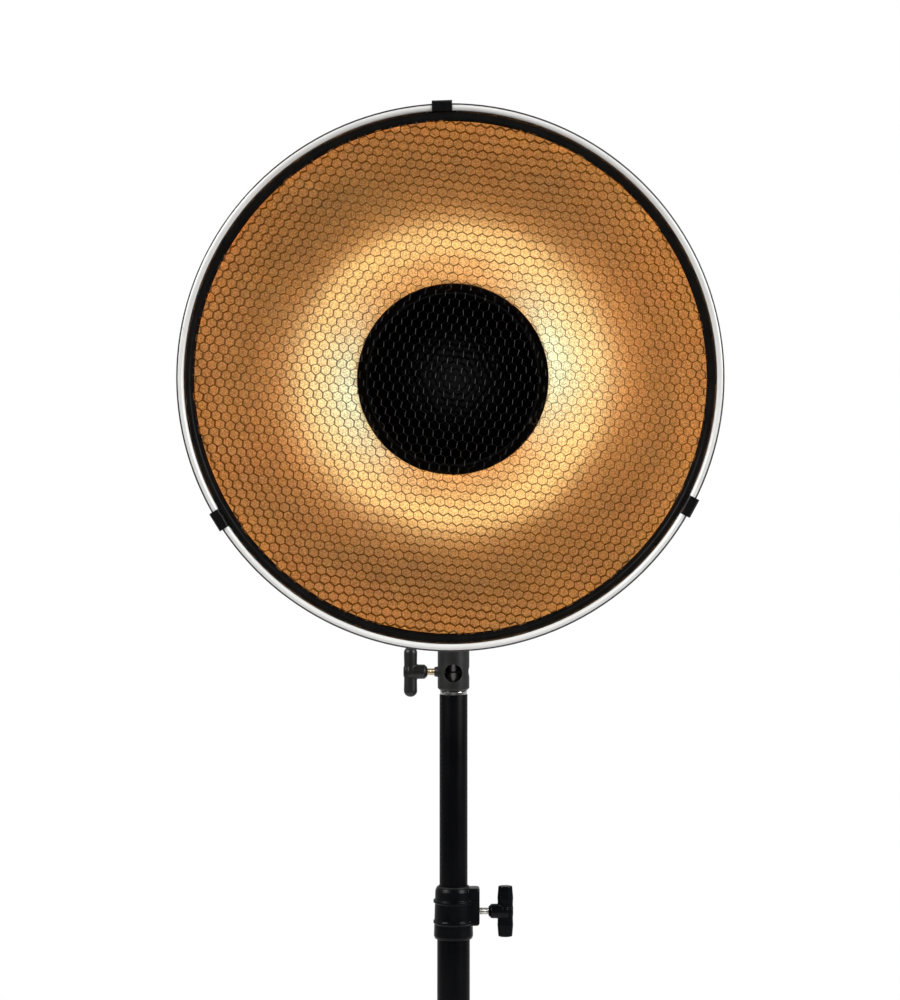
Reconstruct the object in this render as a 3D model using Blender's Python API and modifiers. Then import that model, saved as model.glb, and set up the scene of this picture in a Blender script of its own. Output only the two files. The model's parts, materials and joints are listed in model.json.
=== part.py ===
"""Beauty dish reflector with a honeycomb grid, on a lamp head in a yoke, on a light stand's telescopic top.

Metres, +Z up. The reflector faces -Y. The origin is the centre of the column's foot.
Parts on the optical axis are modelled in the optical frame: an empty on the tilt axis whose
local +Z points forwards out of the dish, +Y up and +X to the right.
"""

import math

import bmesh
import bpy
from mathutils import Matrix

MM = 0.001
GAP = 0.3 * MM  # clearance left between parts that rest on each other

# Stand: heights are above the column's foot
AXIS_HEIGHT = 908 * MM  # optical axis and tilt axis
COLUMN_RADIUS = 17.5 * MM
COLUMN_WALL = 1.5 * MM
RISER_RADIUS = 15 * MM
RISER_WALL = 1.5 * MM
CLAMP_TOP = AXIS_HEIGHT - 545 * MM
CLAMP_BOTTOM = CLAMP_TOP - 55 * MM
CLAMP_SCREW_HEIGHT = CLAMP_TOP - 26 * MM
LUG_END = 28 * MM
RISER_BOTTOM = CLAMP_TOP - 105 * MM
COLLAR_BOTTOM = AXIS_HEIGHT - 334.5 * MM
COLLAR_TOP = AXIS_HEIGHT - 205.5 * MM
COLLAR_RADIUS = 17 * MM
SPIGOT_RADIUS = 8 * MM
CAP_TOP = COLLAR_BOTTOM - 0.6 * MM
RISER_TOP = CAP_TOP - 4 * MM
SOCKET_SCREW_HEIGHT = AXIS_HEIGHT - 315 * MM
CROSS_HOLE_RADIUS = 9.5 * MM

# Locking screws and their T-handles: distances from the stand's axis
SCREW_RADIUS = 3.8 * MM
HANDLE_CENTRE = 46 * MM
HANDLE_HALF_LENGTH = 27 * MM
HANDLE_HALF_THICKNESS = 7.5 * MM
HANDLE_HALF_WIDTH = 6.5 * MM
HUB_RADIUS = 8 * MM
CLAMP_HANDLE_SHIFT = 10.5 * MM  # the clamp's handle stands this much further out

# Yoke
ARM_INSIDE = 86.5 * MM
YOKE_THICKNESS = 5 * MM
YOKE_WIDTH = 32 * MM
YOKE_CORNER = 30 * MM
CROSSBAR_TOP = AXIS_HEIGHT - 200 * MM
PIVOT_RADIUS = 5 * MM
BOSS_END = 84 * MM  # the head's bosses reach this far out on the tilt axis

# Optical frame: h is the distance forwards from the tilt axis
RIM_FRONT = 300 * MM
RIM_TUBE = 3.2 * MM
RIM_MIDDLE = 261.4 * MM
DISH_THICKNESS = 1.2 * MM
FLANGE_RADIUS = 265.3 * MM
MOUTH_RADIUS = 257.8 * MM
FLANGE_H = 293 * MM
SHOULDER_H = 279 * MM
SHOULDER_RADIUS = 256 * MM
BASE_RADIUS = 98 * MM
BASE_H = 150 * MM
LAMP_HOLE_RADIUS = 50 * MM
BIG_STEPS = 60  # facets round the dish and the grid

GRID_RADIUS = 255.6 * MM
GRID_LIP_RADIUS = 248.6 * MM
GRID_FRONT = 297.5 * MM
GRID_BACK = 280 * MM
GRID_SHEET = 0.9 * MM
CELL_SIZE = 68 * MM  # the core's coarse stand-in cells, across flats
CELL_WALL = 0.8 * MM
GRID_TURN = math.radians(1.7)  # the clips sit this far round from the vertical
CLIP_ANGLES = {"top": 90, "left": 210, "right": 330}
CLIP_HALF_WIDTH = 9.8 * MM
CLIP_FOOT_HALF_WIDTH = 21 * MM
CLIP_SHEET = 0.5 * MM
CLIP_PIVOT = (257.2 * MM, 297.5 * MM)  # radius and h of the strap's bending line

DEFLECTOR_H = 238 * MM
DEFLECTOR_RADIUS = 94.4 * MM
DOME_RADIUS = 84 * MM
DOME_RISE = 15 * MM
POST_RADIUS = 2.3 * MM
POST_CIRCLE = 90.2 * MM
POST_ANGLES = [math.radians(92.6 + 120 * i) for i in range(3)]
BOLT_RADIUS = 1.6 * MM
BOLT_HOLE = 1.9 * MM

HOUSING_RADIUS = 62 * MM
HOUSING_WALL = 2.5 * MM
HOUSING_FRONT = 131.7 * MM
HOUSING_BACK = -70 * MM
RING_RADIUS = 76 * MM
RING_FRONT = 145 * MM
RING_BACK = 132 * MM
THROAT_RADIUS = 52 * MM  # the clear opening through both halves of the bayonet
LUG_CENTRES = [math.radians(30 + 120 * i) for i in range(3)]
LUG_GAPS = [math.radians(90 + 120 * i) for i in range(3)]
SCREW_CIRCLE = 65 * MM
LUG_WIDTH = math.radians(26)
CLAW_WIDTH = math.radians(30)
REAR_FACE = HOUSING_BACK - GAP - 10 * MM  # the cover's flat outside
DIAL_RADIUS = 15 * MM
DIAL_PLACE = (0, 18 * MM)
ROCKER_PLACE = (-22 * MM, -18 * MM)
ROCKER_HOLE = (22 * MM, 14 * MM)
ROCKER_TIP = math.radians(9)
INLET_PLACE = (20 * MM, -18 * MM)
INLET_HOLE = (30 * MM, 22 * MM)
HANDLE_LIFT = 37.7 * MM  # height of the grab handle above the optical axis
TUBE_CIRCLE = 32 * MM
FAN_H = -40 * MM

FORWARD = (math.radians(90), 0, 0)  # turns local +Z to face -Y


# Scene and materials


def clear_scene():
    for old in list(bpy.data.objects):
        bpy.data.objects.remove(old)


def new_collection(name):
    made = bpy.data.collections.new(name)
    bpy.context.scene.collection.children.link(made)
    return made


def new_material(name, colour, roughness, metallic=0.0):
    made = bpy.data.materials.new(name)
    made.use_nodes = True
    shader = made.node_tree.nodes["Principled BSDF"]
    shader.inputs["Base Color"].default_value = (*colour, 1)
    shader.inputs["Roughness"].default_value = roughness
    shader.inputs["Metallic"].default_value = metallic
    return made


clear_scene()
PARTS = new_collection("beauty_dish_reflector")
HELPERS = new_collection("cutters_and_joins")

DISH_SILVER = new_material("dish_silver", (0.8, 0.77, 0.72), 0.4, 0.6)
RIM_WHITE = new_material("rim_white", (0.8, 0.8, 0.77), 0.3)
BLACK_SATIN = new_material("black_satin", (0.02, 0.02, 0.02), 0.4)
BLACK_GLOSS = new_material("black_gloss", (0.01, 0.01, 0.01), 0.12)
BLACK_PLASTIC = new_material("black_plastic", (0.025, 0.025, 0.027), 0.5)
BLACK_ANODISED = new_material("black_anodised", (0.012, 0.013, 0.015), 0.35, 0.6)
SPRING_STEEL = new_material("spring_steel", (0.02, 0.02, 0.022), 0.3, 0.5)
BRIGHT_STEEL = new_material("bright_steel", (0.62, 0.58, 0.52), 0.25, 1.0)
CHROME = new_material("chrome", (0.8, 0.8, 0.8), 0.08, 1.0)
CERAMIC = new_material("ceramic", (0.85, 0.84, 0.8), 0.5)
LAMP_GLASS = new_material("lamp_glass", (1.0, 0.85, 0.6), 0.3)
BOARD_GREEN = new_material("board_green", (0.03, 0.2, 0.08), 0.5)
CAPACITOR_BLUE = new_material("capacitor_blue", (0.04, 0.08, 0.25), 0.4)


# Modelling tools


def link(obj, material=None, parent=None, location=(0, 0, 0), rotation=(0, 0, 0)):
    """Puts an object in the parts collection, or among the helpers if it has no material."""
    if material is None:
        HELPERS.objects.link(obj)
        obj.hide_render = True
        obj.display_type = "WIRE"
    else:
        PARTS.objects.link(obj)
        obj.data.materials.append(material)
    obj.parent = parent
    obj.location = location
    obj.rotation_euler = rotation
    return obj


def new_frame(name, parent=None, location=(0, 0, 0), rotation=(0, 0, 0)):
    """An empty that carries the parts on one joint."""
    empty = bpy.data.objects.new(name, None)
    empty.empty_display_size = 0.03
    PARTS.objects.link(empty)
    empty.parent = parent
    empty.location = location
    empty.rotation_euler = rotation
    return empty


def smooth(mesh, angle=35):
    mesh.shade_smooth()
    mesh.set_sharp_from_angle(angle=math.radians(angle))


def mesh_from_bmesh(name, shape):
    mesh = bpy.data.meshes.new(name)
    shape.to_mesh(mesh)
    shape.free()
    smooth(mesh)
    return bpy.data.objects.new(name, mesh)


def box(name, size, **where):
    shape = bmesh.new()
    bmesh.ops.create_cube(shape, size=1)
    bmesh.ops.scale(shape, vec=size, verts=shape.verts)
    return link(mesh_from_bmesh(name, shape), **where)


def rod(name, radius, length, sides=20, end_radius=None, **where):
    """A cylinder, or a cone if end_radius is given, along its local +Z with its start at the origin."""
    shape = bmesh.new()
    bmesh.ops.create_cone(
        shape,
        cap_ends=True,
        segments=sides,
        radius1=radius,
        radius2=radius if end_radius is None else end_radius,
        depth=length,
    )
    bmesh.ops.translate(shape, vec=(0, 0, length / 2), verts=shape.verts)
    return link(mesh_from_bmesh(name, shape), **where)


def turned(name, profile, steps=24, ring=False, **where):
    """A solid turned round local Z. The profile's (radius, height) points run down its outer side.
    A ring's profile is a closed loop. Otherwise it starts and ends on the axis."""
    shape = bmesh.new()
    points = [shape.verts.new((radius, 0, height)) for radius, height in profile]
    for first, second in zip(points, points[1:] + points[:1] if ring else points[1:]):
        shape.edges.new((first, second))
    obj = link(mesh_from_bmesh(name, shape), **where)
    add_screw(obj, steps)
    return obj


def add_screw(obj, steps, angle=2 * math.pi):
    screw = obj.modifiers.new("turn", "SCREW")
    screw.angle = angle
    screw.steps = steps
    screw.render_steps = steps
    screw.use_merge_vertices = True
    screw.merge_threshold = 0.00001
    screw.use_smooth_shade = False
    return screw


def turned_sheet(name, profile, thickness, steps, offset=-1, angle=2 * math.pi, **where):
    """A spun sheet: an open profile turned round local Z, then given its thickness.
    Offset -1 puts the thickness behind the side that the profile's normals face."""
    shape = bmesh.new()
    points = [shape.verts.new((radius, 0, height)) for radius, height in profile]
    for first, second in zip(points, points[1:]):
        shape.edges.new((first, second))
    obj = link(mesh_from_bmesh(name, shape), **where)
    add_screw(obj, steps, angle)
    sheet = obj.modifiers.new("sheet", "SOLIDIFY")
    sheet.thickness = thickness
    sheet.offset = offset
    sheet.use_even_offset = True
    return obj


def as_mesh(obj):
    """The curve object's evaluated shape as a mesh object in its place, with its caps welded on."""
    bpy.context.view_layer.update()
    graph = bpy.context.evaluated_depsgraph_get()
    mesh = bpy.data.meshes.new_from_object(obj.evaluated_get(graph))
    shape = bmesh.new()
    shape.from_mesh(mesh)
    bmesh.ops.remove_doubles(shape, verts=shape.verts, dist=0.00001)
    shape.to_mesh(mesh)
    shape.free()
    smooth(mesh)
    name, world, parent = obj.name, obj.matrix_world.copy(), obj.parent
    home = obj.users_collection[0]
    bpy.data.objects.remove(obj)
    made = bpy.data.objects.new(name, mesh)
    home.objects.link(made)
    if home is HELPERS:
        made.hide_render = True
        made.display_type = "WIRE"
    made.parent = parent
    made.matrix_world = world
    return made


def plate(name, outline, thickness, **where):
    """A flat outline in local XY, given its thickness half each way along local Z."""
    curve = bpy.data.curves.new(name, "CURVE")
    curve.dimensions = "2D"
    curve.fill_mode = "BOTH"
    curve.extrude = thickness / 2
    line = curve.splines.new("POLY")
    line.points.add(len(outline) - 1)
    for point, (x, y) in zip(line.points, outline):
        point.co = (x, y, 0, 1)
    line.use_cyclic_u = True
    return as_mesh(link(bpy.data.objects.new(name, curve), **where))


def tube_along(name, path, radius, sides=2, **where):
    """A round bar along a path of points. sides is the curve's bevel_resolution."""
    curve = bpy.data.curves.new(name, "CURVE")
    curve.dimensions = "3D"
    curve.bevel_depth = radius
    curve.bevel_resolution = sides
    curve.use_fill_caps = True
    line = curve.splines.new("POLY")
    line.points.add(len(path) - 1)
    for point, place in zip(line.points, path):
        point.co = (*place, 1)
    return as_mesh(link(bpy.data.objects.new(name, curve), **where))


def combine(target, other, operation):
    modifier = target.modifiers.new(operation.lower(), "BOOLEAN")
    modifier.operation = operation
    modifier.object = other
    return target


def cut(target, *cutters):
    for cutter in cutters:
        combine(target, cutter, "DIFFERENCE")
    return target


def join(target, *others):
    for other in others:
        combine(target, other, "UNION")
    return target


def arc(centre, radius, start, end, steps):
    """Points along an arc, from the start angle to the end angle in radians."""
    angles = [start + (end - start) * i / steps for i in range(steps + 1)]
    return [(centre[0] + radius * math.cos(a), centre[1] + radius * math.sin(a)) for a in angles]


def sector(inner, outer, middle, width, steps=6):
    """The outline of a piece of a flat ring."""
    start = middle - width / 2
    end = middle + width / 2
    return arc((0, 0), outer, start, end, steps) + arc((0, 0), inner, end, start, steps)


def polar(radius, angle, height=0.0):
    return (radius * math.cos(angle), radius * math.sin(angle), height)


# Column, clamp and riser


def build_column():
    bore = COLUMN_RADIUS - COLUMN_WALL
    top = CLAMP_TOP - 8 * MM
    wall = [(bore, top), (COLUMN_RADIUS, top), (COLUMN_RADIUS, 4 * MM), (bore, 4 * MM)]
    turned("column_tube", wall, ring=True, material=BLACK_ANODISED)
    plug = bore - GAP
    foot = [(0, 20 * MM), (plug - MM, 20 * MM), (plug, 19 * MM), (plug, 4 * MM - GAP)]
    foot += [(COLUMN_RADIUS, 4 * MM - GAP), (COLUMN_RADIUS, MM), (COLUMN_RADIUS - MM, 0), (0, 0)]
    turned("column_foot", foot, material=BLACK_PLASTIC)


def build_clamp():
    guide = RISER_RADIUS + 1.8 * MM
    socket = COLUMN_RADIUS + GAP
    ledge = CLAMP_TOP - 7.7 * MM
    top_radius = 18.2 * MM
    bottom_radius = 21 * MM
    casting = [(guide, CLAMP_TOP), (top_radius - MM, CLAMP_TOP), (top_radius + MM, CLAMP_TOP - 3 * MM)]
    casting += [(bottom_radius, CLAMP_BOTTOM), (socket, CLAMP_BOTTOM), (socket, ledge), (guide, ledge)]
    body = turned("column_clamp", casting, ring=True, material=BLACK_PLASTIC)
    lug_height = 40 * MM
    lug_start = 16 * MM
    middle = CLAMP_TOP - 2 * MM - lug_height / 2
    lug_size = (LUG_END - lug_start, 22 * MM, lug_height)
    lug = box("lug", lug_size, location=((LUG_END + lug_start) / 2, 0, middle))
    soften = lug.modifiers.new("round", "BEVEL")
    soften.width = 3 * MM
    soften.segments = 2
    inside = rod("clamp_inside", COLUMN_RADIUS + GAP, 60 * MM, 24, location=(0, 0, CLAMP_BOTTOM - 5 * MM))
    cut(lug, inside)
    bore = rod(
        "clamp_screw_bore", SCREW_RADIUS + 0.5 * MM, 40 * MM, 16,
        location=(10 * MM, 0, CLAMP_SCREW_HEIGHT), rotation=(0, math.radians(90), 0),
    )
    cut(join(body, lug), bore)
    cut(
        bpy.data.objects["column_tube"],
        rod(
            "column_screw_hole", SCREW_RADIUS + 2 * MM, 20 * MM, 16,
            location=(8 * MM, 0, CLAMP_SCREW_HEIGHT), rotation=(0, math.radians(90), 0),
        ),
    )
    inner = RISER_RADIUS + GAP
    outer = guide - GAP
    low = CLAMP_TOP - 7.3 * MM
    high = CLAMP_TOP + 1.2 * MM
    lip = [(inner, high), (outer, high), (outer, low), (inner, low)]
    turned("clamp_bush", lip, ring=True, material=BLACK_PLASTIC)


def build_riser(frame):
    bore = RISER_RADIUS - RISER_WALL
    wall = [(bore, RISER_TOP), (RISER_RADIUS, RISER_TOP), (RISER_RADIUS, RISER_BOTTOM), (bore, RISER_BOTTOM)]
    turned("riser_tube", wall, ring=True, material=BLACK_ANODISED, parent=frame)

    stem = 6 * MM
    cap_radius = RISER_RADIUS - 0.6 * MM
    plug = bore - GAP
    cap = [(stem + GAP, CAP_TOP), (cap_radius - MM, CAP_TOP), (cap_radius, CAP_TOP - MM)]
    cap += [(cap_radius, RISER_TOP + GAP), (plug, RISER_TOP + GAP), (plug, RISER_TOP - 16 * MM)]
    cap += [(stem + GAP, RISER_TOP - 16 * MM)]
    turned("riser_cap", cap, ring=True, material=CHROME, parent=frame)

    top = COLLAR_BOTTOM + 68 * MM
    waist_low = SOCKET_SCREW_HEIGHT + 1 * MM
    waist_high = SOCKET_SCREW_HEIGHT + 11 * MM
    bevel = 1.5 * MM
    pin = [(0, top), (SPIGOT_RADIUS - bevel, top), (SPIGOT_RADIUS, top - bevel)]
    pin += [(SPIGOT_RADIUS, waist_high + bevel), (SPIGOT_RADIUS - bevel, waist_high)]
    pin += [(SPIGOT_RADIUS - bevel, waist_low), (SPIGOT_RADIUS, waist_low - bevel)]
    stem_end = RISER_TOP - 24 * MM
    pin += [(SPIGOT_RADIUS, CAP_TOP + GAP), (stem, CAP_TOP + GAP), (stem, stem_end), (0, stem_end)]
    turned("spigot", pin, material=BRIGHT_STEEL, parent=frame)

    outer = COLUMN_RADIUS - COLUMN_WALL - GAP
    bush_top = RISER_BOTTOM - GAP
    bush_foot = RISER_BOTTOM - 14 * MM
    bush = [(bore, bush_top), (outer, bush_top), (outer, bush_foot), (bore, bush_foot)]
    turned("riser_foot_bush", bush, ring=True, material=BLACK_PLASTIC, parent=frame)


# Locking screws with T-handles


def build_handle(name, frame):
    """A T-handle standing out along local +X from its screw's frame."""
    bar = bpy.data.objects.new(name, handle_bar_mesh(name))
    link(bar, material=BLACK_PLASTIC, parent=frame, location=(HANDLE_CENTRE, 0, 0))
    start = HANDLE_CENTRE - 2 * MM
    shoulder = 28.5 * MM - start
    nose = shoulder - 2.6 * MM
    profile = [(0, 0), (HUB_RADIUS, 0), (HUB_RADIUS, shoulder), (4.6 * MM, nose), (0, nose)]
    hub = turned(
        name + "_hub", profile, steps=20,
        parent=frame, location=(start, 0, 0), rotation=(0, math.radians(90), 0),
    )
    join(bar, hub)
    screw_hole = rod(
        name + "_screw_hole", SCREW_RADIUS + GAP, 20 * MM, 16,
        parent=frame, location=(20 * MM, 0, 0), rotation=(0, math.radians(90), 0),
    )
    cut(bar, screw_hole)
    return bar


def handle_bar_mesh(name):
    """A bar with domed ends: a sphere whose halves are pulled apart, flattened a little in Y."""
    shape = bmesh.new()
    bmesh.ops.create_uvsphere(shape, u_segments=16, v_segments=8, radius=1)
    reach = HANDLE_HALF_LENGTH - HANDLE_HALF_WIDTH
    waist = 0.01
    for corner in shape.verts:
        side = 0 if abs(corner.co.z) < waist else math.copysign(reach, corner.co.z)
        corner.co.x *= HANDLE_HALF_THICKNESS
        corner.co.y *= HANDLE_HALF_WIDTH
        corner.co.z = corner.co.z * HANDLE_HALF_WIDTH + side
    mesh = bpy.data.meshes.new(name)
    shape.to_mesh(mesh)
    shape.free()
    smooth(mesh)
    return mesh


def build_screw(name, frame, tip, end):
    """A locking screw along local +X, from its tip to its end inside the handle."""
    bevel = 0.8 * MM
    profile = [(0, end), (SCREW_RADIUS, end), (SCREW_RADIUS, tip + bevel)]
    profile += [(SCREW_RADIUS - bevel, tip), (0, tip)]
    along = (0, math.radians(90), 0)
    turned(name, profile, steps=16, material=BRIGHT_STEEL, parent=frame, rotation=along)


def build_locking_screws(clamp_frame, socket_frame):
    hole_end = 39.5 * MM
    slack = 0.6 * MM  # between a screw's tip and the bar it locks
    build_handle("clamp_tee_handle", clamp_frame)
    build_screw("clamp_screw", clamp_frame, RISER_RADIUS + slack - CLAMP_HANDLE_SHIFT, hole_end)
    build_handle("socket_tee_handle", socket_frame)
    build_screw("socket_screw", socket_frame, SPIGOT_RADIUS + slack, hole_end)


# Socket collar and yoke


def build_socket(frame):
    bore = SPIGOT_RADIUS + 0.4 * MM
    chamfer = 2.4 * MM
    bolt_hole = PIVOT_RADIUS + 0.4 * MM
    step = COLLAR_TOP - 9 * MM
    head = 23 * MM
    profile = [(bolt_hole, COLLAR_TOP), (head, COLLAR_TOP), (head, step), (COLLAR_RADIUS, step - 6 * MM)]
    profile += [(COLLAR_RADIUS, COLLAR_BOTTOM + chamfer), (COLLAR_RADIUS - chamfer, COLLAR_BOTTOM)]
    profile += [(bolt_hole, COLLAR_BOTTOM)]
    body = turned("socket_collar", profile, steps=24, ring=True, material=BLACK_ANODISED, parent=frame)

    boss = rod(
        "socket_boss", 6.4 * MM, 8 * MM, 20, 5 * MM, parent=frame,
        location=(-12.5 * MM, 0, SOCKET_SCREW_HEIGHT), rotation=(0, math.radians(-90), 0),
    )
    screw_bore = rod(
        "socket_screw_bore", SCREW_RADIUS + GAP, 30 * MM, 16, parent=frame,
        location=(0, 0, SOCKET_SCREW_HEIGHT), rotation=(0, math.radians(-90), 0),
    )
    front_hole = rod(
        "front_cross_hole", CROSS_HOLE_RADIUS, 30 * MM, 20, parent=frame,
        location=(0, 0, SOCKET_SCREW_HEIGHT), rotation=FORWARD,
    )
    side_hole = rod(
        "side_cross_hole", CROSS_HOLE_RADIUS, 30 * MM, 20, parent=frame,
        location=(0, 0, SOCKET_SCREW_HEIGHT), rotation=(0, math.radians(90), 0),
    )
    spigot_room = rod(
        "spigot_room", bore, 72 * MM, 24, parent=frame, location=(0, 0, COLLAR_BOTTOM - 2 * MM)
    )
    cut(join(body, boss), screw_bore, front_hole, side_hole, spigot_room)


def yoke_outline():
    """The U's edge in the yoke's plane: outside from the left arm's top to the right's, then back inside."""
    top = AXIS_HEIGHT + 30 * MM
    half = ARM_INSIDE + YOKE_THICKNESS
    low = CROSSBAR_TOP - YOKE_THICKNESS
    inner_corner = YOKE_CORNER - YOKE_THICKNESS
    centre_x = half - YOKE_CORNER
    centre_z = low + YOKE_CORNER
    outside = [(-half, top)] + arc((-centre_x, centre_z), YOKE_CORNER, math.pi, 1.5 * math.pi, 6)
    outside += arc((centre_x, centre_z), YOKE_CORNER, 1.5 * math.pi, 2 * math.pi, 6) + [(half, top)]
    inside = [(ARM_INSIDE, top)] + arc((centre_x, centre_z), inner_corner, 2 * math.pi, 1.5 * math.pi, 6)
    inside += arc((-centre_x, centre_z), inner_corner, 1.5 * math.pi, math.pi, 6)
    return outside + inside + [(-ARM_INSIDE, top)]


def build_yoke(frame):
    yoke = plate("yoke", yoke_outline(), YOKE_WIDTH, material=BLACK_SATIN, parent=frame, rotation=FORWARD)
    half = YOKE_WIDTH / 2
    low = CROSSBAR_TOP - 20 * MM
    rounded = [(-half - MM, low), (half + MM, low), (half + MM, AXIS_HEIGHT)]
    rounded += arc((0, AXIS_HEIGHT), half - 0.2 * MM, 0, math.pi, 12) + [(-half - MM, AXIS_HEIGHT)]
    upright = (math.radians(90), 0, math.radians(90))
    combine(yoke, plate("yoke_side_view", rounded, 240 * MM, parent=frame, rotation=upright), "INTERSECT")
    pivot_hole = rod(
        "yoke_pivot_hole", PIVOT_RADIUS + 0.4 * MM, 240 * MM, parent=frame,
        location=(-120 * MM, 0, AXIS_HEIGHT), rotation=(0, math.radians(90), 0),
    )
    bolt_hole = rod(
        "yoke_bolt_hole", PIVOT_RADIUS + 0.4 * MM, 30 * MM,
        parent=frame, location=(0, 0, CROSSBAR_TOP - 20 * MM),
    )
    cut(yoke, pivot_hole, bolt_hole)

    seat = CROSSBAR_TOP + GAP
    washer_top = seat + 1.5 * MM
    head = (0, 0, washer_top + GAP)
    bolt = rod("yoke_bolt", 9 * MM, 6 * MM, 6, material=BRIGHT_STEEL, parent=frame, location=head)
    shank = rod("yoke_bolt_shank", PIVOT_RADIUS, 36 * MM, 16, parent=frame, location=(0, 0, seat - 31 * MM))
    join(bolt, shank)
    inner = PIVOT_RADIUS + GAP
    outer = 12 * MM
    washer = [(inner, washer_top), (outer, washer_top), (outer, seat), (inner, seat)]
    turned("yoke_bolt_washer", washer, steps=20, ring=True, material=BRIGHT_STEEL, parent=frame)


def build_pivots(yoke_frame, knob_frame):
    """Frames on the tilt axis. Friction washers and the plain bolt stay with the yoke, and the knob turns."""
    inner = PIVOT_RADIUS + GAP
    outer = 15 * MM
    near = BOSS_END + GAP
    far = ARM_INSIDE - GAP
    face = ARM_INSIDE + YOKE_THICKNESS + GAP
    thread_end = 68 * MM
    for side, turn in (("left", -1), ("right", 1)):
        along = (0, turn * math.radians(90), 0)
        washer = [(inner, far), (outer, far), (outer, near), (inner, near)]
        turned(
            "friction_washer_" + side, washer, steps=20, ring=True,
            material=BLACK_PLASTIC, parent=yoke_frame, rotation=along,
        )
    head = 9 * MM
    head_top = face + 6 * MM
    bolt = [(0, head_top), (head - MM, head_top), (head, head_top - MM), (head, face)]
    bolt += [(PIVOT_RADIUS, face), (PIVOT_RADIUS, thread_end), (0, thread_end)]
    turned(
        "pivot_bolt", bolt, steps=20, material=BRIGHT_STEEL,
        parent=yoke_frame, rotation=(0, math.radians(-90), 0),
    )
    along = (0, math.radians(90), 0)
    stud_end = face + 14 * MM
    stud = [(0, stud_end), (PIVOT_RADIUS, stud_end), (PIVOT_RADIUS, thread_end), (0, thread_end)]
    turned("tilt_stud", stud, steps=20, material=BRIGHT_STEEL, parent=knob_frame, rotation=along)
    build_star_knob(knob_frame, face)


def build_star_knob(frame, face):
    """A six-lobed knob on the tilt stud."""
    steps = 48
    lobes = 6
    middle = 20.5 * MM
    wave = 2.5 * MM
    angles = [2 * math.pi * i / steps for i in range(steps)]
    outline = [polar(middle + wave * math.cos(lobes * a), a)[:2] for a in angles]
    thickness = 13 * MM
    centre = face + 5 * MM + thickness / 2
    along = (0, math.radians(90), 0)
    knob = plate(
        "tilt_knob", outline, thickness, material=BLACK_PLASTIC,
        parent=frame, location=(centre, 0, 0), rotation=along,
    )
    neck = rod("tilt_knob_neck", 11 * MM, 10 * MM, parent=frame, location=(face, 0, 0), rotation=along)
    bore = rod(
        "tilt_knob_bore", PIVOT_RADIUS + GAP, 19.3 * MM, parent=frame,
        location=(face - 5 * MM, 0, 0), rotation=along,
    )
    cut(join(knob, neck), bore)


# Lamp head


def build_housing(frame):
    bore = HOUSING_RADIUS - HOUSING_WALL
    wall = [(bore, HOUSING_FRONT), (HOUSING_RADIUS, HOUSING_FRONT)]
    wall += [(HOUSING_RADIUS, HOUSING_BACK), (bore, HOUSING_BACK)]
    housing = turned("head_housing", wall, steps=32, ring=True, material=BLACK_PLASTIC, parent=frame)
    slots = 5
    pitch = 15 * MM
    first = 40 * MM
    opening = (54 * MM, 150 * MM, 4 * MM)
    for i in range(slots):
        cut(housing, box(f"cooling_slot_{i}", opening, parent=frame, location=(0, 0, first + i * pitch)))
    for side in (-1, 1):
        hole = rod(
            f"housing_pivot_hole_{side}", PIVOT_RADIUS + 2 * MM, 30 * MM, 16, parent=frame,
            location=(side * 50 * MM, 0, 0), rotation=(0, side * math.radians(90), 0),
        )
        cut(housing, hole)


def build_bosses(frame):
    saddle = rod(
        "boss_saddle", HOUSING_RADIUS + GAP, 80 * MM, 32, parent=frame, location=(0, 0, -40 * MM)
    )
    near = 56 * MM
    inner = PIVOT_RADIUS + 0.4 * MM
    small = 17 * MM
    large = 20 * MM
    for side, turn in (("left", -1), ("right", 1)):
        profile = [(inner, BOSS_END), (small - MM, BOSS_END), (small, BOSS_END - MM)]
        profile += [(large, near), (inner, near)]
        boss = turned(
            "pivot_boss_" + side, profile, ring=True,
            material=BLACK_SATIN, parent=frame, rotation=(0, turn * math.radians(90), 0),
        )
        cut(boss, saddle)


def build_bayonet_ring(frame):
    """The head's half of the bayonet: a cup with three claws that hold the reflector's lugs."""
    front = RING_FRONT
    wall = 70.5 * MM
    floor_top = RING_BACK + 3 * MM
    profile = [(wall, front), (RING_RADIUS - MM, front), (RING_RADIUS, front - MM), (RING_RADIUS, RING_BACK)]
    profile += [(THROAT_RADIUS, RING_BACK), (THROAT_RADIUS, floor_top), (wall, floor_top)]
    ring = turned("bayonet_ring", profile, steps=32, ring=True, material=BLACK_SATIN, parent=frame)
    claw = 3 * MM
    for i, centre in enumerate(LUG_CENTRES):
        outline = sector(62.5 * MM, 72 * MM, centre, CLAW_WIDTH)
        join(ring, plate(f"claw_{i}", outline, claw, parent=frame, location=(0, 0, front - claw / 2)))


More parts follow.
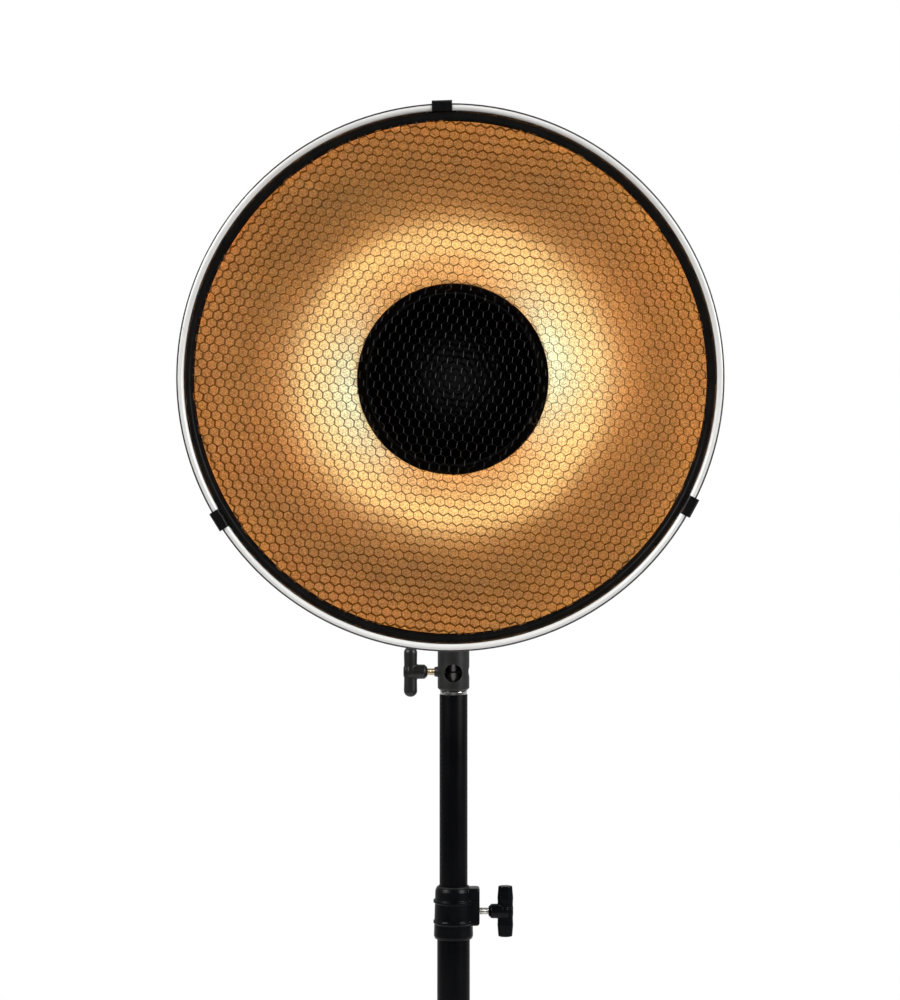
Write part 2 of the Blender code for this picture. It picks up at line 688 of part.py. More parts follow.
def build_rear_cover(frame):
    """A cover whose tongue fits in the housing, with openings for the dial, the rocker and the inlet."""
    seat = HOUSING_BACK - GAP
    inside = seat - 2.5 * MM
    tongue = HOUSING_RADIUS - HOUSING_WALL - GAP
    tongue_top = seat + 8 * MM
    chamfer = 6 * MM
    cover = [(0, inside), (55 * MM, inside), (55 * MM, tongue_top), (tongue, tongue_top), (tongue, seat)]
    cover += [(HOUSING_RADIUS, seat), (HOUSING_RADIUS, REAR_FACE + chamfer)]
    cover += [(HOUSING_RADIUS - chamfer, REAR_FACE), (0, REAR_FACE)]
    panel = turned("rear_cover", cover, steps=32, material=BLACK_PLASTIC, parent=frame)
    deep = 30 * MM
    dial_hole = rod("dial_hole", 3.5 * MM, deep, 16, parent=frame, location=(*DIAL_PLACE, REAR_FACE - 5 * MM))
    rocker_hole = box("rocker_hole", (*ROCKER_HOLE, deep), parent=frame, location=(*ROCKER_PLACE, REAR_FACE))
    inlet_hole = box("inlet_hole", (*INLET_HOLE, deep), parent=frame, location=(*INLET_PLACE, REAR_FACE))
    cut(panel, dial_hole, rocker_hole, inlet_hole)


def build_inlet(frame):
    """A block that fills the cover's opening, with a recess for a power cord's plug."""
    long = 12 * MM
    width, height = (side - 2 * GAP for side in INLET_HOLE)
    middle = REAR_FACE + 5 * MM
    inlet = box(
        "power_inlet", (width, height, long), material=BLACK_PLASTIC,
        parent=frame, location=(*INLET_PLACE, middle),
    )
    recess = (22 * MM, 14 * MM, long)
    cut(inlet, box("inlet_recess", recess, parent=frame, location=(*INLET_PLACE, middle - long / 2)))


def build_dial(frame):
    """A knob and its shaft. The frame lies on the shaft, level with the cover's face."""
    shaft = 3 * MM
    shaft_end = 16 * MM
    skirt = -0.6 * MM
    top = -11 * MM
    chamfer = 2 * MM
    knob = [(0, shaft_end), (shaft, shaft_end), (shaft, skirt), (DIAL_RADIUS, skirt)]
    knob += [(DIAL_RADIUS, top + chamfer), (DIAL_RADIUS - 1.5 * MM, top), (0, top)]
    dial = turned("power_dial", knob, steps=28, material=BLACK_PLASTIC, parent=frame)
    cut(dial, box("pointer_groove", (1.6 * MM, 9 * MM, 3 * MM), parent=frame, location=(0, 9 * MM, top)))


def build_rocker(frame):
    """The rocker lies across its pivot and rests on one end, and its middle is lower than its ends."""
    side_view = [(-8.7 * MM, -13.5 * MM), (0, -11 * MM), (8.7 * MM, -13.5 * MM)]
    side_view += [(7.5 * MM, -4 * MM), (-7.5 * MM, -4 * MM)]
    upright = (math.radians(90), 0, 0)
    plate("lamp_rocker", side_view, 13 * MM, material=BLACK_GLOSS, parent=frame, rotation=upright)


def build_rear_handle(frame):
    """A grab handle bent from one bar, standing off the cover."""
    half = 34.4 * MM
    corner = 16 * MM
    reach = 46 * MM
    bend = arc((half - corner, reach - corner), corner, 0, math.pi / 2, 5)
    right = [(half, GAP)] + bend
    left = [(-x, z) for x, z in reversed(right)]
    path = [(x, HANDLE_LIFT, REAR_FACE - z) for x, z in right + left]
    tube_along("rear_handle", path, 7 * MM, 3, material=BLACK_PLASTIC, parent=frame)


def build_lamp(frame):
    """The ceramic plate with the ring tube round the modelling lamp in its socket."""
    outer = 56 * MM
    inner = 15 * MM
    front = 131 * MM
    back = 128 * MM
    profile = [(inner, front), (outer, front), (outer, back), (inner, back)]
    lamp_plate = turned("lamp_plate", profile, steps=32, ring=True, material=CERAMIC, parent=frame)
    for i in (-1, 1):
        place = (i * 7 * MM, -TUBE_CIRCLE, back - 4 * MM)
        cut(lamp_plate, rod(f"flash_pin_hole_{i}", 5 * MM, 10 * MM, 12, parent=frame, location=place))

    wide = 14.5 * MM
    hollow = 9 * MM
    mouth = 140 * MM
    floor = 108 * MM
    socket = [(0, floor), (hollow, floor), (hollow, mouth), (wide, mouth)]
    socket += [(wide, floor - 4 * MM), (0, floor - 4 * MM)]
    turned("lamp_socket", socket, material=CERAMIC, parent=frame)

    neck = 8.4 * MM
    glass = 14 * MM
    bulb = [(0, 204 * MM), (7 * MM, 202 * MM), (12 * MM, 196 * MM), (glass, 188 * MM), (glass, 160 * MM)]
    bulb += [(11.5 * MM, 148 * MM), (neck, 142 * MM), (neck, floor + 4 * MM), (0, floor + 4 * MM)]
    turned("modelling_lamp", bulb, steps=20, material=LAMP_GLASS, parent=frame)

    gap = math.radians(13)
    steps = 16
    turn = 2 * math.pi - 2 * gap
    level = 158 * MM
    foot = 122 * MM
    loop = [polar(TUBE_CIRCLE, gap - math.pi / 2 + turn * i / steps, level) for i in range(steps + 1)]
    first, last = loop[0], loop[-1]
    path = [(*first[:2], foot)] + loop + [(*last[:2], foot)]
    tube_along("flash_tube", path, 4 * MM, 2, material=LAMP_GLASS, parent=frame)


def build_electronics(frame):
    board = (84 * MM, 1.6 * MM, 90 * MM)
    box("circuit_board", board, material=BOARD_GREEN, parent=frame, location=(0, -26 * MM, 46 * MM))
    place = (0, 2 * MM, 4 * MM)
    rod("capacitor", 20 * MM, 84 * MM, 24, material=CAPACITOR_BLUE, parent=frame, location=place)


def build_fan_frame(frame):
    """A square frame with a round tunnel, a hub seat on two spokes and corners trimmed for the housing."""
    side = 70 * MM
    depth = 15 * MM
    deep = 20 * MM
    middle = (0, 0, FAN_H)
    body = box("fan_frame", (side, side, depth), material=BLACK_PLASTIC, parent=frame, location=middle)
    tunnel = band("fan_tunnel", 9 * MM, 32 * MM, deep, frame, middle)
    hub_room = rod("fan_hub_room", 12 * MM, deep, parent=frame, location=(0, 0, FAN_H - 4.5 * MM))
    spokes = box("fan_spokes", (68 * MM, 5 * MM, 2.4 * MM), parent=frame, location=(0, 0, FAN_H - 6.2 * MM))
    cut(body, tunnel, hub_room)
    join(body, spokes)
    cut(body, band("fan_corner_trim", 59 * MM, 90 * MM, deep, frame, middle))


def band(name, inner, outer, half_depth, frame, place):
    """A thick flat ring, as a cutter."""
    profile = [(inner, half_depth), (outer, half_depth), (outer, -half_depth), (inner, -half_depth)]
    return turned(name, profile, steps=28, ring=True, parent=frame, location=place)


def build_fan_rotor(frame):
    hub = rod("fan_rotor", 11 * MM, 9 * MM, material=BLACK_PLASTIC, parent=frame, location=(0, 0, -4 * MM))
    blades = 7
    size = (21 * MM, 1.6 * MM, 10 * MM)
    pitch = Matrix.Rotation(math.radians(38), 3, "X")
    for i in range(blades):
        angle = 2 * math.pi * i / blades
        turn = (Matrix.Rotation(angle, 3, "Z") @ pitch).to_euler()
        place = polar(20 * MM, angle, 0.5 * MM)
        join(hub, box(f"fan_blade_{i}", size, parent=frame, location=place, rotation=turn))


# Reflector


def dish_profile():
    """The dish's inside from the lamp hole out to the flange: flat base, parabola, straight mouth."""
    depth = (SHOULDER_H - BASE_H) / (1 - (BASE_RADIUS / SHOULDER_RADIUS) ** 2)
    steps = 6
    radii = [BASE_RADIUS + (SHOULDER_RADIUS - BASE_RADIUS) * i / steps for i in range(steps + 1)]
    bowl = [(r, SHOULDER_H - depth * (1 - (r / SHOULDER_RADIUS) ** 2)) for r in radii]
    mouth = [(MOUTH_RADIUS, SHOULDER_H + 1.5 * MM), (MOUTH_RADIUS, FLANGE_H), (FLANGE_RADIUS, FLANGE_H)]
    return [(LAMP_HOLE_RADIUS, BASE_H)] + bowl + mouth


def drill(target, name, radius, circle, angles, middle, frame):
    """A ring of holes along local Z, each 12 mm long about its middle."""
    half = 6 * MM
    for i, angle in enumerate(angles):
        place = polar(circle, angle, middle - half)
        cut(target, rod(f"{name}_{i}", radius, 2 * half, 16, parent=frame, location=place))


def build_dish(frame):
    dish = turned_sheet(
        "reflector_dish", dish_profile(), DISH_THICKNESS, BIG_STEPS, material=DISH_SILVER, parent=frame
    )
    drill(dish, "post_hole", BOLT_HOLE, POST_CIRCLE, POST_ANGLES, BASE_H, frame)
    drill(dish, "mount_hole", BOLT_HOLE, SCREW_CIRCLE, LUG_GAPS, BASE_H, frame)


def build_rim(frame):
    middle = (RIM_MIDDLE, RIM_FRONT - RIM_TUBE)
    bead = arc(middle, RIM_TUBE, 2 * math.pi, 0, 8)[:-1]
    turned("rim_ring", bead, steps=BIG_STEPS, ring=True, material=RIM_WHITE, parent=frame)


def build_mount_flange(frame):
    """The reflector's half of the bayonet: a screwed-on plate, a neck and three lugs."""
    front = BASE_H - DISH_THICKNESS - GAP
    under = front - 2.5 * MM
    lug_back = RING_BACK + 4.5 * MM
    lug = 3.5 * MM
    outer = 69 * MM
    neck = 61 * MM
    profile = [(THROAT_RADIUS, front), (outer, front), (outer, under), (neck, under)]
    profile += [(neck, lug_back), (THROAT_RADIUS, lug_back)]
    flange = turned("mount_flange", profile, steps=32, ring=True, material=BRIGHT_STEEL, parent=frame)
    for i, centre in enumerate(LUG_CENTRES):
        outline = sector(neck - 3 * MM, outer, centre, LUG_WIDTH)
        place = (0, 0, lug_back + lug / 2)
        join(flange, plate(f"bayonet_lug_{i}", outline, lug, parent=frame, location=place))
    drill(flange, "flange_hole", BOLT_HOLE, SCREW_CIRCLE, LUG_GAPS, front, frame)
    head = 3.2 * MM
    seat = BASE_H + GAP
    top = seat + 1.8 * MM
    screw = [(0, top), (head - 0.8 * MM, top), (head, top - 0.8 * MM), (head, seat)]
    screw += [(BOLT_RADIUS, seat), (BOLT_RADIUS, under), (0, under)]
    for i, angle in enumerate(LUG_GAPS):
        turned(
            f"mount_screw_{i + 1}", screw, steps=12, material=BRIGHT_STEEL,
            parent=frame, location=polar(SCREW_CIRCLE, angle),
        )


def deflector_profile():
    """The front of the deflector from the middle outwards: dome, groove, flat rim, turned-back edge."""
    curve = (DOME_RADIUS**2 + DOME_RISE**2) / (2 * DOME_RISE)
    floor = DEFLECTOR_H - 1.8 * MM
    steps = 4
    radii = [DOME_RADIUS * i / steps for i in range(steps + 1)]
    dome = [(r, floor + math.sqrt(curve**2 - r**2) - (curve - DOME_RISE)) for r in radii]
    rim = DOME_RADIUS + 2 * MM
    edge = [(rim, floor), (rim + 0.6 * MM, DEFLECTOR_H), (DEFLECTOR_RADIUS - MM, DEFLECTOR_H)]
    edge += [(DEFLECTOR_RADIUS, DEFLECTOR_H - MM), (DEFLECTOR_RADIUS, DEFLECTOR_H - 4 * MM)]
    return dome + edge


def build_deflector(frame):
    """The disc that shades the lamp, on three stepped posts that nuts hold to the dish."""
    sheet = MM
    disc = turned_sheet("deflector", deflector_profile(), sheet, 36, material=BLACK_GLOSS, parent=frame)
    drill(disc, "deflector_hole", 2.7 * MM, POST_CIRCLE + 0.2 * MM, POST_ANGLES, DEFLECTOR_H, frame)
    wide = 2.8 * MM
    top = DEFLECTOR_H + 0.5 * MM
    shoulder = DEFLECTOR_H - sheet - GAP
    foot = BASE_H + GAP
    end = BASE_H - 9 * MM
    post = [(0, top), (POST_RADIUS, top), (POST_RADIUS, shoulder), (wide, shoulder)]
    post += [(wide, foot), (BOLT_RADIUS, foot), (BOLT_RADIUS, end), (0, end)]
    nut_top = BASE_H - DISH_THICKNESS - GAP
    nut_foot = nut_top - 4 * MM
    across = 4.4 * MM
    nut = [(BOLT_HOLE, nut_top), (across, nut_top), (across, nut_foot), (BOLT_HOLE, nut_foot)]
    for i, angle in enumerate(POST_ANGLES):
        place = polar(POST_CIRCLE, angle)
        turned(f"deflector_post_{i + 1}", post, steps=12, material=BLACK_SATIN, parent=frame, location=place)
        turned(
            f"post_nut_{i + 1}", nut, steps=6, ring=True, material=BRIGHT_STEEL, parent=frame, location=place
        )


# Grid


def grid_core_cells():
    """Centres of the hexagonal cells, one edge of each cell upright, out to just past the core's edge."""
    row = CELL_SIZE * math.sqrt(3) / 2
    count = math.ceil(GRID_RADIUS / row) + 1
    for j in range(-count, count + 1):
        for i in range(-count, count + 1):
            x = (i + (j % 2) / 2) * CELL_SIZE
            if math.hypot(x, j * row) < GRID_RADIUS + CELL_SIZE / 3:
                yield x, j * row


def build_grid_core(frame):
    """A disc with hexagonal cells cut through it, and a solid edge that the ring holds."""
    radius = GRID_RADIUS - GRID_SHEET - 1.2 * MM
    bottom = GRID_BACK + GRID_SHEET + GAP
    height = GRID_FRONT - GRID_SHEET - GAP - bottom
    base = (0, 0, bottom)
    core = rod("grid_honeycomb", radius, height, BIG_STEPS, material=BLACK_SATIN, parent=frame, location=base)
    corner = (CELL_SIZE - CELL_WALL) / math.sqrt(3)
    shape = bmesh.new()
    for x, y in grid_core_cells():
        bmesh.ops.create_cone(
            shape, cap_ends=True, segments=6, radius1=corner, radius2=corner, depth=2 * height,
            matrix=Matrix.Translation((x, y, 0)),
        )
    cells = link(mesh_from_bmesh("grid_cells", shape), parent=frame, location=(0, 0, bottom + height / 2))
    solid_edge = 1.5 * MM
    inside = rod(
        "grid_cells_limit", radius - solid_edge, 3 * height, BIG_STEPS,
        parent=frame, location=(0, 0, bottom - height),
    )
    combine(cells, inside, "INTERSECT")
    cut(core, cells)


def build_grid_ring(frame):
    """A U-shaped channel, open towards the axis, that holds the core's edge."""
    lip = GRID_LIP_RADIUS
    web = GRID_RADIUS - GRID_SHEET
    profile = [(lip, GRID_FRONT), (GRID_RADIUS, GRID_FRONT), (GRID_RADIUS, GRID_BACK), (lip, GRID_BACK)]
    profile += [(lip, GRID_BACK + GRID_SHEET), (web, GRID_BACK + GRID_SHEET)]
    profile += [(web, GRID_FRONT - GRID_SHEET), (lip, GRID_FRONT - GRID_SHEET)]
    turned("grid_ring", profile, steps=BIG_STEPS, ring=True, material=BLACK_SATIN, parent=frame)


def clip_outline():
    """The strap's section, as (distance out, height) from its bending line, with a flared end."""
    root = (-0.1 * MM, 0.1 * MM)
    front = RIM_FRONT + 0.6 * MM - CLIP_PIVOT[1]
    side = FLANGE_RADIUS + 0.9 * MM - CLIP_PIVOT[0]
    back = FLANGE_H - 8 * MM - CLIP_PIVOT[1]
    flare = (side + 2.2 * MM, back - 3 * MM)
    sheet = CLIP_SHEET
    bend = 1.2 * MM
    inner = [(root[0] + sheet, root[1]), (root[0] + sheet, front)]
    inner += [(side - bend, front), (side, front - bend), (side, back), flare]
    outer = [(flare[0] + 0.8 * sheet, flare[1] + 0.6 * sheet), (side + sheet, back + 0.3 * sheet)]
    outer += [(side + sheet, front - bend + 0.4 * sheet), (side - bend + 0.4 * sheet, front + sheet)]
    outer += [(root[0] + 0.5 * sheet, front + sheet), (root[0], front + 0.5 * sheet), root]
    return inner + outer


def build_clip(side, frame, grid_frame, angle):
    """A spring strap on its bending line, and the bent plate that fixes it to the grid's ring."""
    plate(
        "clip_hook_" + side, clip_outline(), 2 * CLIP_HALF_WIDTH, material=SPRING_STEEL,
        parent=frame, rotation=FORWARD,
    )
    half_angle = CLIP_FOOT_HALF_WIDTH / GRID_RADIUS
    inside = GRID_RADIUS + GAP
    section = [(inside, GRID_FRONT - 2 * MM), (inside, GRID_BACK + 4 * MM)]
    base = turned_sheet(
        "clip_base_" + side, section, 0.7 * MM, 8,
        offset=1, angle=2 * half_angle, material=SPRING_STEEL, parent=grid_frame,
    )
    base.rotation_euler = (0, 0, angle - half_angle)


def build_grid(grid_frame):
    build_grid_core(grid_frame)
    build_grid_ring(grid_frame)
    for side, degrees in CLIP_ANGLES.items():
        angle = math.radians(degrees) + GRID_TURN
        place = polar(CLIP_PIVOT[0], angle, CLIP_PIVOT[1])
        frame = new_frame("clip_axis_" + side, grid_frame, place, (0, 0, angle))
        build_clip(side, frame, grid_frame, angle)


# Assembly: each frame lies on its joint's axis


def build_all():
    clamp_screw = new_frame("clamp_screw_axis", None, (CLAMP_HANDLE_SHIFT, 0, CLAMP_SCREW_HEIGHT))
    riser = new_frame("riser_slide_axis")
    pan = new_frame("pan_axis", riser)
    socket_screw = new_frame("socket_screw_axis", pan, (0, 0, SOCKET_SCREW_HEIGHT), (0, 0, math.pi))
    yoke_pivot = new_frame("tilt_axis_on_yoke", pan, (0, 0, AXIS_HEIGHT))
    tilt_knob = new_frame("tilt_knob_axis", pan, (0, 0, AXIS_HEIGHT))
    optical = new_frame("optical_axis", pan, (0, 0, AXIS_HEIGHT), FORWARD)
    dial = new_frame("dial_axis", optical, (*DIAL_PLACE, REAR_FACE))
    rocker_pivot = REAR_FACE + 11.5 * MM
    rocker = new_frame("rocker_axis", optical, (*ROCKER_PLACE, rocker_pivot), (0, ROCKER_TIP, 0))
    fan = new_frame("fan_axis", optical, (0, 0, FAN_H + 2 * MM))
    reflector = new_frame("reflector_axis", optical)
    grid = new_frame("grid_slide_axis", reflector)

    build_column()
    build_clamp()
    build_riser(riser)
    build_locking_screws(clamp_screw, socket_screw)
    build_socket(pan)
    build_yoke(pan)
    build_pivots(yoke_pivot, tilt_knob)
    build_housing(optical)
    build_bosses(optical)
    build_bayonet_ring(optical)
    build_rear_cover(optical)
    build_inlet(optical)
    build_dial(dial)
    build_rocker(rocker)
    build_rear_handle(optical)
    build_lamp(optical)
    build_electronics(optical)
    build_fan_frame(optical)
    build_fan_rotor(fan)
    build_dish(reflector)
    build_rim(reflector)
    build_mount_flange(reflector)
    build_deflector(reflector)
    build_grid(grid)


build_all()
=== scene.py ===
"""Looks for the beauty dish reflector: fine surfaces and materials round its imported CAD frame.

Metres, +Z up, and the dish faces -Y. Pieces on the optical axis are modelled in the optical frame, where local +Z
points forwards out of the dish, +Y points up and +X to the right.
"""

import json
import random
from math import atan2, cos, hypot, pi, radians, sin, sqrt, tan

import bmesh
import bpy
from mathutils import Matrix, Vector


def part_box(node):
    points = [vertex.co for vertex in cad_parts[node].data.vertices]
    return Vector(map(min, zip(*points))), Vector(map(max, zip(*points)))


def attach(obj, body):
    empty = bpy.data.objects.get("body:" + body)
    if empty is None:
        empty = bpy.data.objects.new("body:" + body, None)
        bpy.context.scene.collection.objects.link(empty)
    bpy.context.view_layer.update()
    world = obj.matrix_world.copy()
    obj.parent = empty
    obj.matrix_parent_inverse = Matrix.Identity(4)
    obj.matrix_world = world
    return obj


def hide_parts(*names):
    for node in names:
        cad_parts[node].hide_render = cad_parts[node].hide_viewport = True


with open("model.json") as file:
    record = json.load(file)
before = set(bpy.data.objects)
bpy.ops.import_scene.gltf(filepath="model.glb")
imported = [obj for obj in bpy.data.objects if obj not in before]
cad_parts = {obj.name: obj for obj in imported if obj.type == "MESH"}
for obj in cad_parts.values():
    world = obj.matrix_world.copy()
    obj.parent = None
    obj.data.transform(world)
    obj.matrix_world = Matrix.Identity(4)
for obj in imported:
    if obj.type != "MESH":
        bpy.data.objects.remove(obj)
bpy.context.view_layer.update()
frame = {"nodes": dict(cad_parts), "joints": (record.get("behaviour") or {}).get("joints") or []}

MM = 0.001
FINE = 160  # facets round the dish and its grid
ROUND = 64  # facets round tubes, knobs and housings
SMALL = 32  # facets round screws and pins


# Places and sizes read from the frame


def joint(name):
    return next(each for each in frame["joints"] if each["name"] == name)


def size_of(node):
    low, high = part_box(node)
    return high - low


def half_width(node):
    return size_of(node).x / 2


def centre_of(node):
    low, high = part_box(node)
    return (low + high) / 2


def shift(x, y, z):
    return Matrix.Translation((x, y, z))


def about(axis, degrees):
    return Matrix.Rotation(radians(degrees), 4, axis)


TILT_AXIS = Vector(joint("tilt")["pos_m"])
AXIS_HEIGHT = TILT_AXIS.z
OPTICAL = shift(*TILT_AXIS) @ about("X", 90)
UPRIGHT = Matrix.Identity(4)
ALONG_X = about("Y", 90)


def forwards(y):
    """Distance along the optical axis of a world y."""
    return -y


RIM_FRONT = forwards(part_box("rim_ring")[0].y)
RIM_RADIUS = half_width("rim_ring")
RIM_TUBE = size_of("rim_ring").y / 2
DISH_RADIUS = half_width("reflector_dish")
DISH_BACK = forwards(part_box("reflector_dish")[1].y)
GRID_FRONT = forwards(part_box("grid_ring")[0].y)
GRID_BACK = forwards(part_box("grid_ring")[1].y)
GRID_RADIUS = half_width("grid_ring")
DEFLECTOR_FRONT_DOME = forwards(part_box("deflector")[0].y)


# Materials


class Surface:
    """A Principled material with the texture nodes that its finish needs."""

    def __init__(self, name, colour, roughness, metallic=0.0, specular=0.5):
        self.material = bpy.data.materials.new(name)
        self.material.use_nodes = True
        self.tree = self.material.node_tree
        self.shader = self.tree.nodes["Principled BSDF"]
        self.colour = colour
        self.roughness = roughness
        self.shader.inputs["Base Color"].default_value = (*colour, 1)
        self.shader.inputs["Roughness"].default_value = roughness
        self.shader.inputs["Metallic"].default_value = metallic
        self.shader.inputs["Specular IOR Level"].default_value = specular
        self.place = self.tree.nodes.new("ShaderNodeTexCoord").outputs["Object"]
        self.height = None

    def node(self, kind, **values):
        made = self.tree.nodes.new(kind)
        for key, value in values.items():
            if hasattr(made, key):
                setattr(made, key, value)
            else:
                made.inputs[key.replace("_", " ").title()].default_value = value
        return made

    def wire(self, out, into):
        self.tree.links.new(out, into)

    def stretched(self, factors):
        """The object coordinates, stretched."""
        mapping = self.node("ShaderNodeMapping")
        mapping.inputs["Scale"].default_value = factors
        self.wire(self.place, mapping.inputs["Vector"])
        return mapping.outputs["Vector"]

    def noise(self, scale, detail=3.0, place=None, distortion=0.0):
        made = self.node("ShaderNodeTexNoise", scale=scale, detail=detail, distortion=distortion)
        self.wire(place or self.place, made.inputs["Vector"])
        return made.outputs["Fac"]

    def mottle(self, scale, amount, place=None):
        """Varies the base colour between darker and lighter."""
        ramp = self.node("ShaderNodeMapRange")
        for key, value in {"From Min": 0.3, "From Max": 0.7, "To Min": 1 - amount, "To Max": 1 + amount}.items():
            ramp.inputs[key].default_value = value
        self.wire(self.noise(scale, place=place), ramp.inputs["Value"])
        tint = self.node("ShaderNodeVectorMath", operation="SCALE")
        tint.inputs[0].default_value = self.colour
        self.wire(ramp.outputs["Result"], tint.inputs["Scale"])
        self.wire(tint.outputs["Vector"], self.shader.inputs["Base Color"])
        return self

    def smudges(self, scale, spread, place=None):
        """Varies the roughness."""
        ramp = self.node("ShaderNodeMapRange")
        low = max(0.02, self.roughness - spread)
        for key, value in {"From Min": 0.3, "From Max": 0.7, "To Min": low, "To Max": self.roughness + spread}.items():
            ramp.inputs[key].default_value = value
        self.wire(self.noise(scale, place=place), ramp.inputs["Value"])
        self.wire(ramp.outputs["Result"], self.shader.inputs["Roughness"])
        return self

    def bump(self, height, depth, strength=1.0):
        """Adds relief: height is an output between 0 and 1, and depth is its size in metres."""
        made = self.node("ShaderNodeBump")
        made.inputs["Strength"].default_value = strength
        made.inputs["Distance"].default_value = depth
        self.wire(height, made.inputs["Height"])
        if self.height is not None:
            self.wire(self.height, made.inputs["Normal"])
        self.height = made.outputs["Normal"]
        self.wire(self.height, self.shader.inputs["Normal"])
        return self

    def grain(self, scale, depth, place=None):
        return self.bump(self.noise(scale, 4.0, place), depth)

    def cells(self, scale, depth, twist=0.0):
        """Smooth rounded pebbles, drawn out by some distortion."""
        place = self.place
        if twist:
            shift = self.node("ShaderNodeVectorMath", operation="MULTIPLY_ADD")
            swirl = self.node("ShaderNodeTexNoise", scale=scale * 0.6, detail=1.0)
            self.wire(self.place, swirl.inputs["Vector"])
            self.wire(swirl.outputs["Color"], shift.inputs[0])
            shift.inputs[1].default_value = (twist,) * 3
            self.wire(self.place, shift.inputs[2])
            place = shift.outputs["Vector"]
        pebbles = self.node("ShaderNodeTexVoronoi", feature="SMOOTH_F1", scale=scale)
        pebbles.inputs["Smoothness"].default_value = 0.6
        self.wire(place, pebbles.inputs["Vector"])
        return self.bump(pebbles.outputs["Distance"], depth)

    def coat(self, weight, roughness):
        self.shader.inputs["Coat Weight"].default_value = weight
        self.shader.inputs["Coat Roughness"].default_value = roughness
        return self

    def glow(self, colour, strength):
        self.shader.inputs["Emission Color"].default_value = (*colour, 1)
        self.shader.inputs["Emission Strength"].default_value = strength
        return self


LAMP_POWER = 312
COIL_MIDDLE = 175 * MM  # forwards from the tilt axis
COIL_LENGTH = 20 * MM
BEAM_SPAN = (-0.3, 0.4)
# the share of each direction that goes forwards, and the colour of the light that goes that way
BEAM_ROUND = (
    (-0.25, (0.135, 0.070, 0.024)),
    (-0.12, (0.130, 0.070, 0.024)),
    (-0.04, (0.34, 0.23, 0.085)),
    (0.0, (0.36, 0.235, 0.088)),
    (0.05, (0.18, 0.10, 0.032)),
    (0.10, (0.15, 0.0585, 0.0125)),
    (0.18, (0.12, 0.044, 0.0085)),
    (0.28, (0.158, 0.058, 0.0105)),
    (0.37, (0.31, 0.114, 0.022)),
)
BEAM_SIDES = (
    (-0.25, (0.03, 0.15, 0.13)),
    (-0.15, (0.02, 0.11, 0.095)),
    (-0.08, (0, 0.04, 0.04)),
    (0.0, (0, 0.03, 0.028)),
    (0.05, (0.05, 0.05, 0.03)),
    (0.12, (0.12, 0.05, 0.012)),
    (0.2, (0.07, 0.022, 0.004)),
    (0.28, (0.05, 0.018, 0.004)),
    (0.37, (0.04, 0.013, 0.002)),
)
BEAM_LEAN = radians(10)
BEAM_SHARPNESS = 4.5


def lamp_beam(surface):
    """Light that differs by direction, as from a bright coil seen through the glass: its colour is a function of how
    far forwards it goes, with more to both sides. Only the coil's stretch of the bulb shines."""
    low, high = BEAM_SPAN
    incoming = surface.node("ShaderNodeNewGeometry").outputs["Incoming"]
    turned = surface.node("ShaderNodeVectorTransform", vector_type="VECTOR", convert_from="WORLD", convert_to="OBJECT")
    surface.wire(incoming, turned.inputs["Vector"])
    part = surface.node("ShaderNodeSeparateXYZ")
    surface.wire(turned.outputs["Vector"], part.inputs["Vector"])
    ahead = surface.node("ShaderNodeMapRange")
    ahead.inputs["From Min"].default_value = -low
    ahead.inputs["From Max"].default_value = -high
    surface.wire(part.outputs["Y"], ahead.inputs["Value"])

    def curve(points):
        made = surface.node("ShaderNodeValToRGB")
        stops = made.color_ramp.elements
        stops[1].position = (points[-1][0] - low) / (high - low)
        stops[0].position = (points[0][0] - low) / (high - low)
        for forwardness, _ in points[1:-1]:
            stops.new((forwardness - low) / (high - low))
        for stop, (_, colour) in zip(stops, points):
            stop.color = (*colour, 1)
        surface.wire(ahead.outputs["Result"], made.inputs["Fac"])
        return made.outputs["Color"]

    def vector_math(operation, *values):
        made = surface.node("ShaderNodeVectorMath", operation=operation)
        for i, value in enumerate(values):
            into = made.inputs["Scale"] if operation == "SCALE" and i else made.inputs[i]
            if isinstance(value, tuple):
                into.default_value = value
            else:
                surface.wire(value, into)
        return made.outputs["Value" if operation == "DOT_PRODUCT" else "Vector"]

    def scalar(operation, *values):
        made = surface.node("ShaderNodeMath", operation=operation)
        for i, value in enumerate(values):
            if isinstance(value, (int, float)):
                made.inputs[i].default_value = value
            else:
                surface.wire(value, made.inputs[i])
        return made.outputs["Value"]

    across = vector_math("NORMALIZE", vector_math("MULTIPLY", turned.outputs["Vector"], (1, 0, 1)))
    along = vector_math("DOT_PRODUCT", across, (cos(BEAM_LEAN), 0, sin(BEAM_LEAN)))
    to_sides = scalar("POWER", scalar("ABSOLUTE", along), BEAM_SHARPNESS)
    colour = vector_math("ADD", vector_math("SCALE", curve(BEAM_SIDES), to_sides), curve(BEAM_ROUND))
    surface.wire(colour, surface.shader.inputs["Emission Color"])
    place = surface.node("ShaderNodeSeparateXYZ")
    surface.wire(surface.place, place.inputs["Vector"])
    lit = scalar("COMPARE", place.outputs["Y"], -COIL_MIDDLE, COIL_LENGTH / 2)
    surface.wire(scalar("MULTIPLY", lit, LAMP_POWER), surface.shader.inputs["Emission Strength"])
    return surface


def moulded(name, colour=(0.009, 0.009, 0.0095), roughness=0.48):
    """Fine-textured black plastic or powder coat."""
    made = Surface(name, colour, roughness, 0.0, 0.4)
    return made.mottle(60, 0.25).smudges(45, 0.08).grain(2600, 0.05 * MM)


def steel(name, colour, roughness, streaks=(40, 40, 2500)):
    """Turned or drawn bright metal: fine lines along the stretch, and a little staining."""
    made = Surface(name, colour, roughness, 1.0)
    lines = made.stretched(streaks)
    made.mottle(30, 0.12).smudges(1, 0.1, lines)
    return made.grain(1, 0.006 * MM, lines)


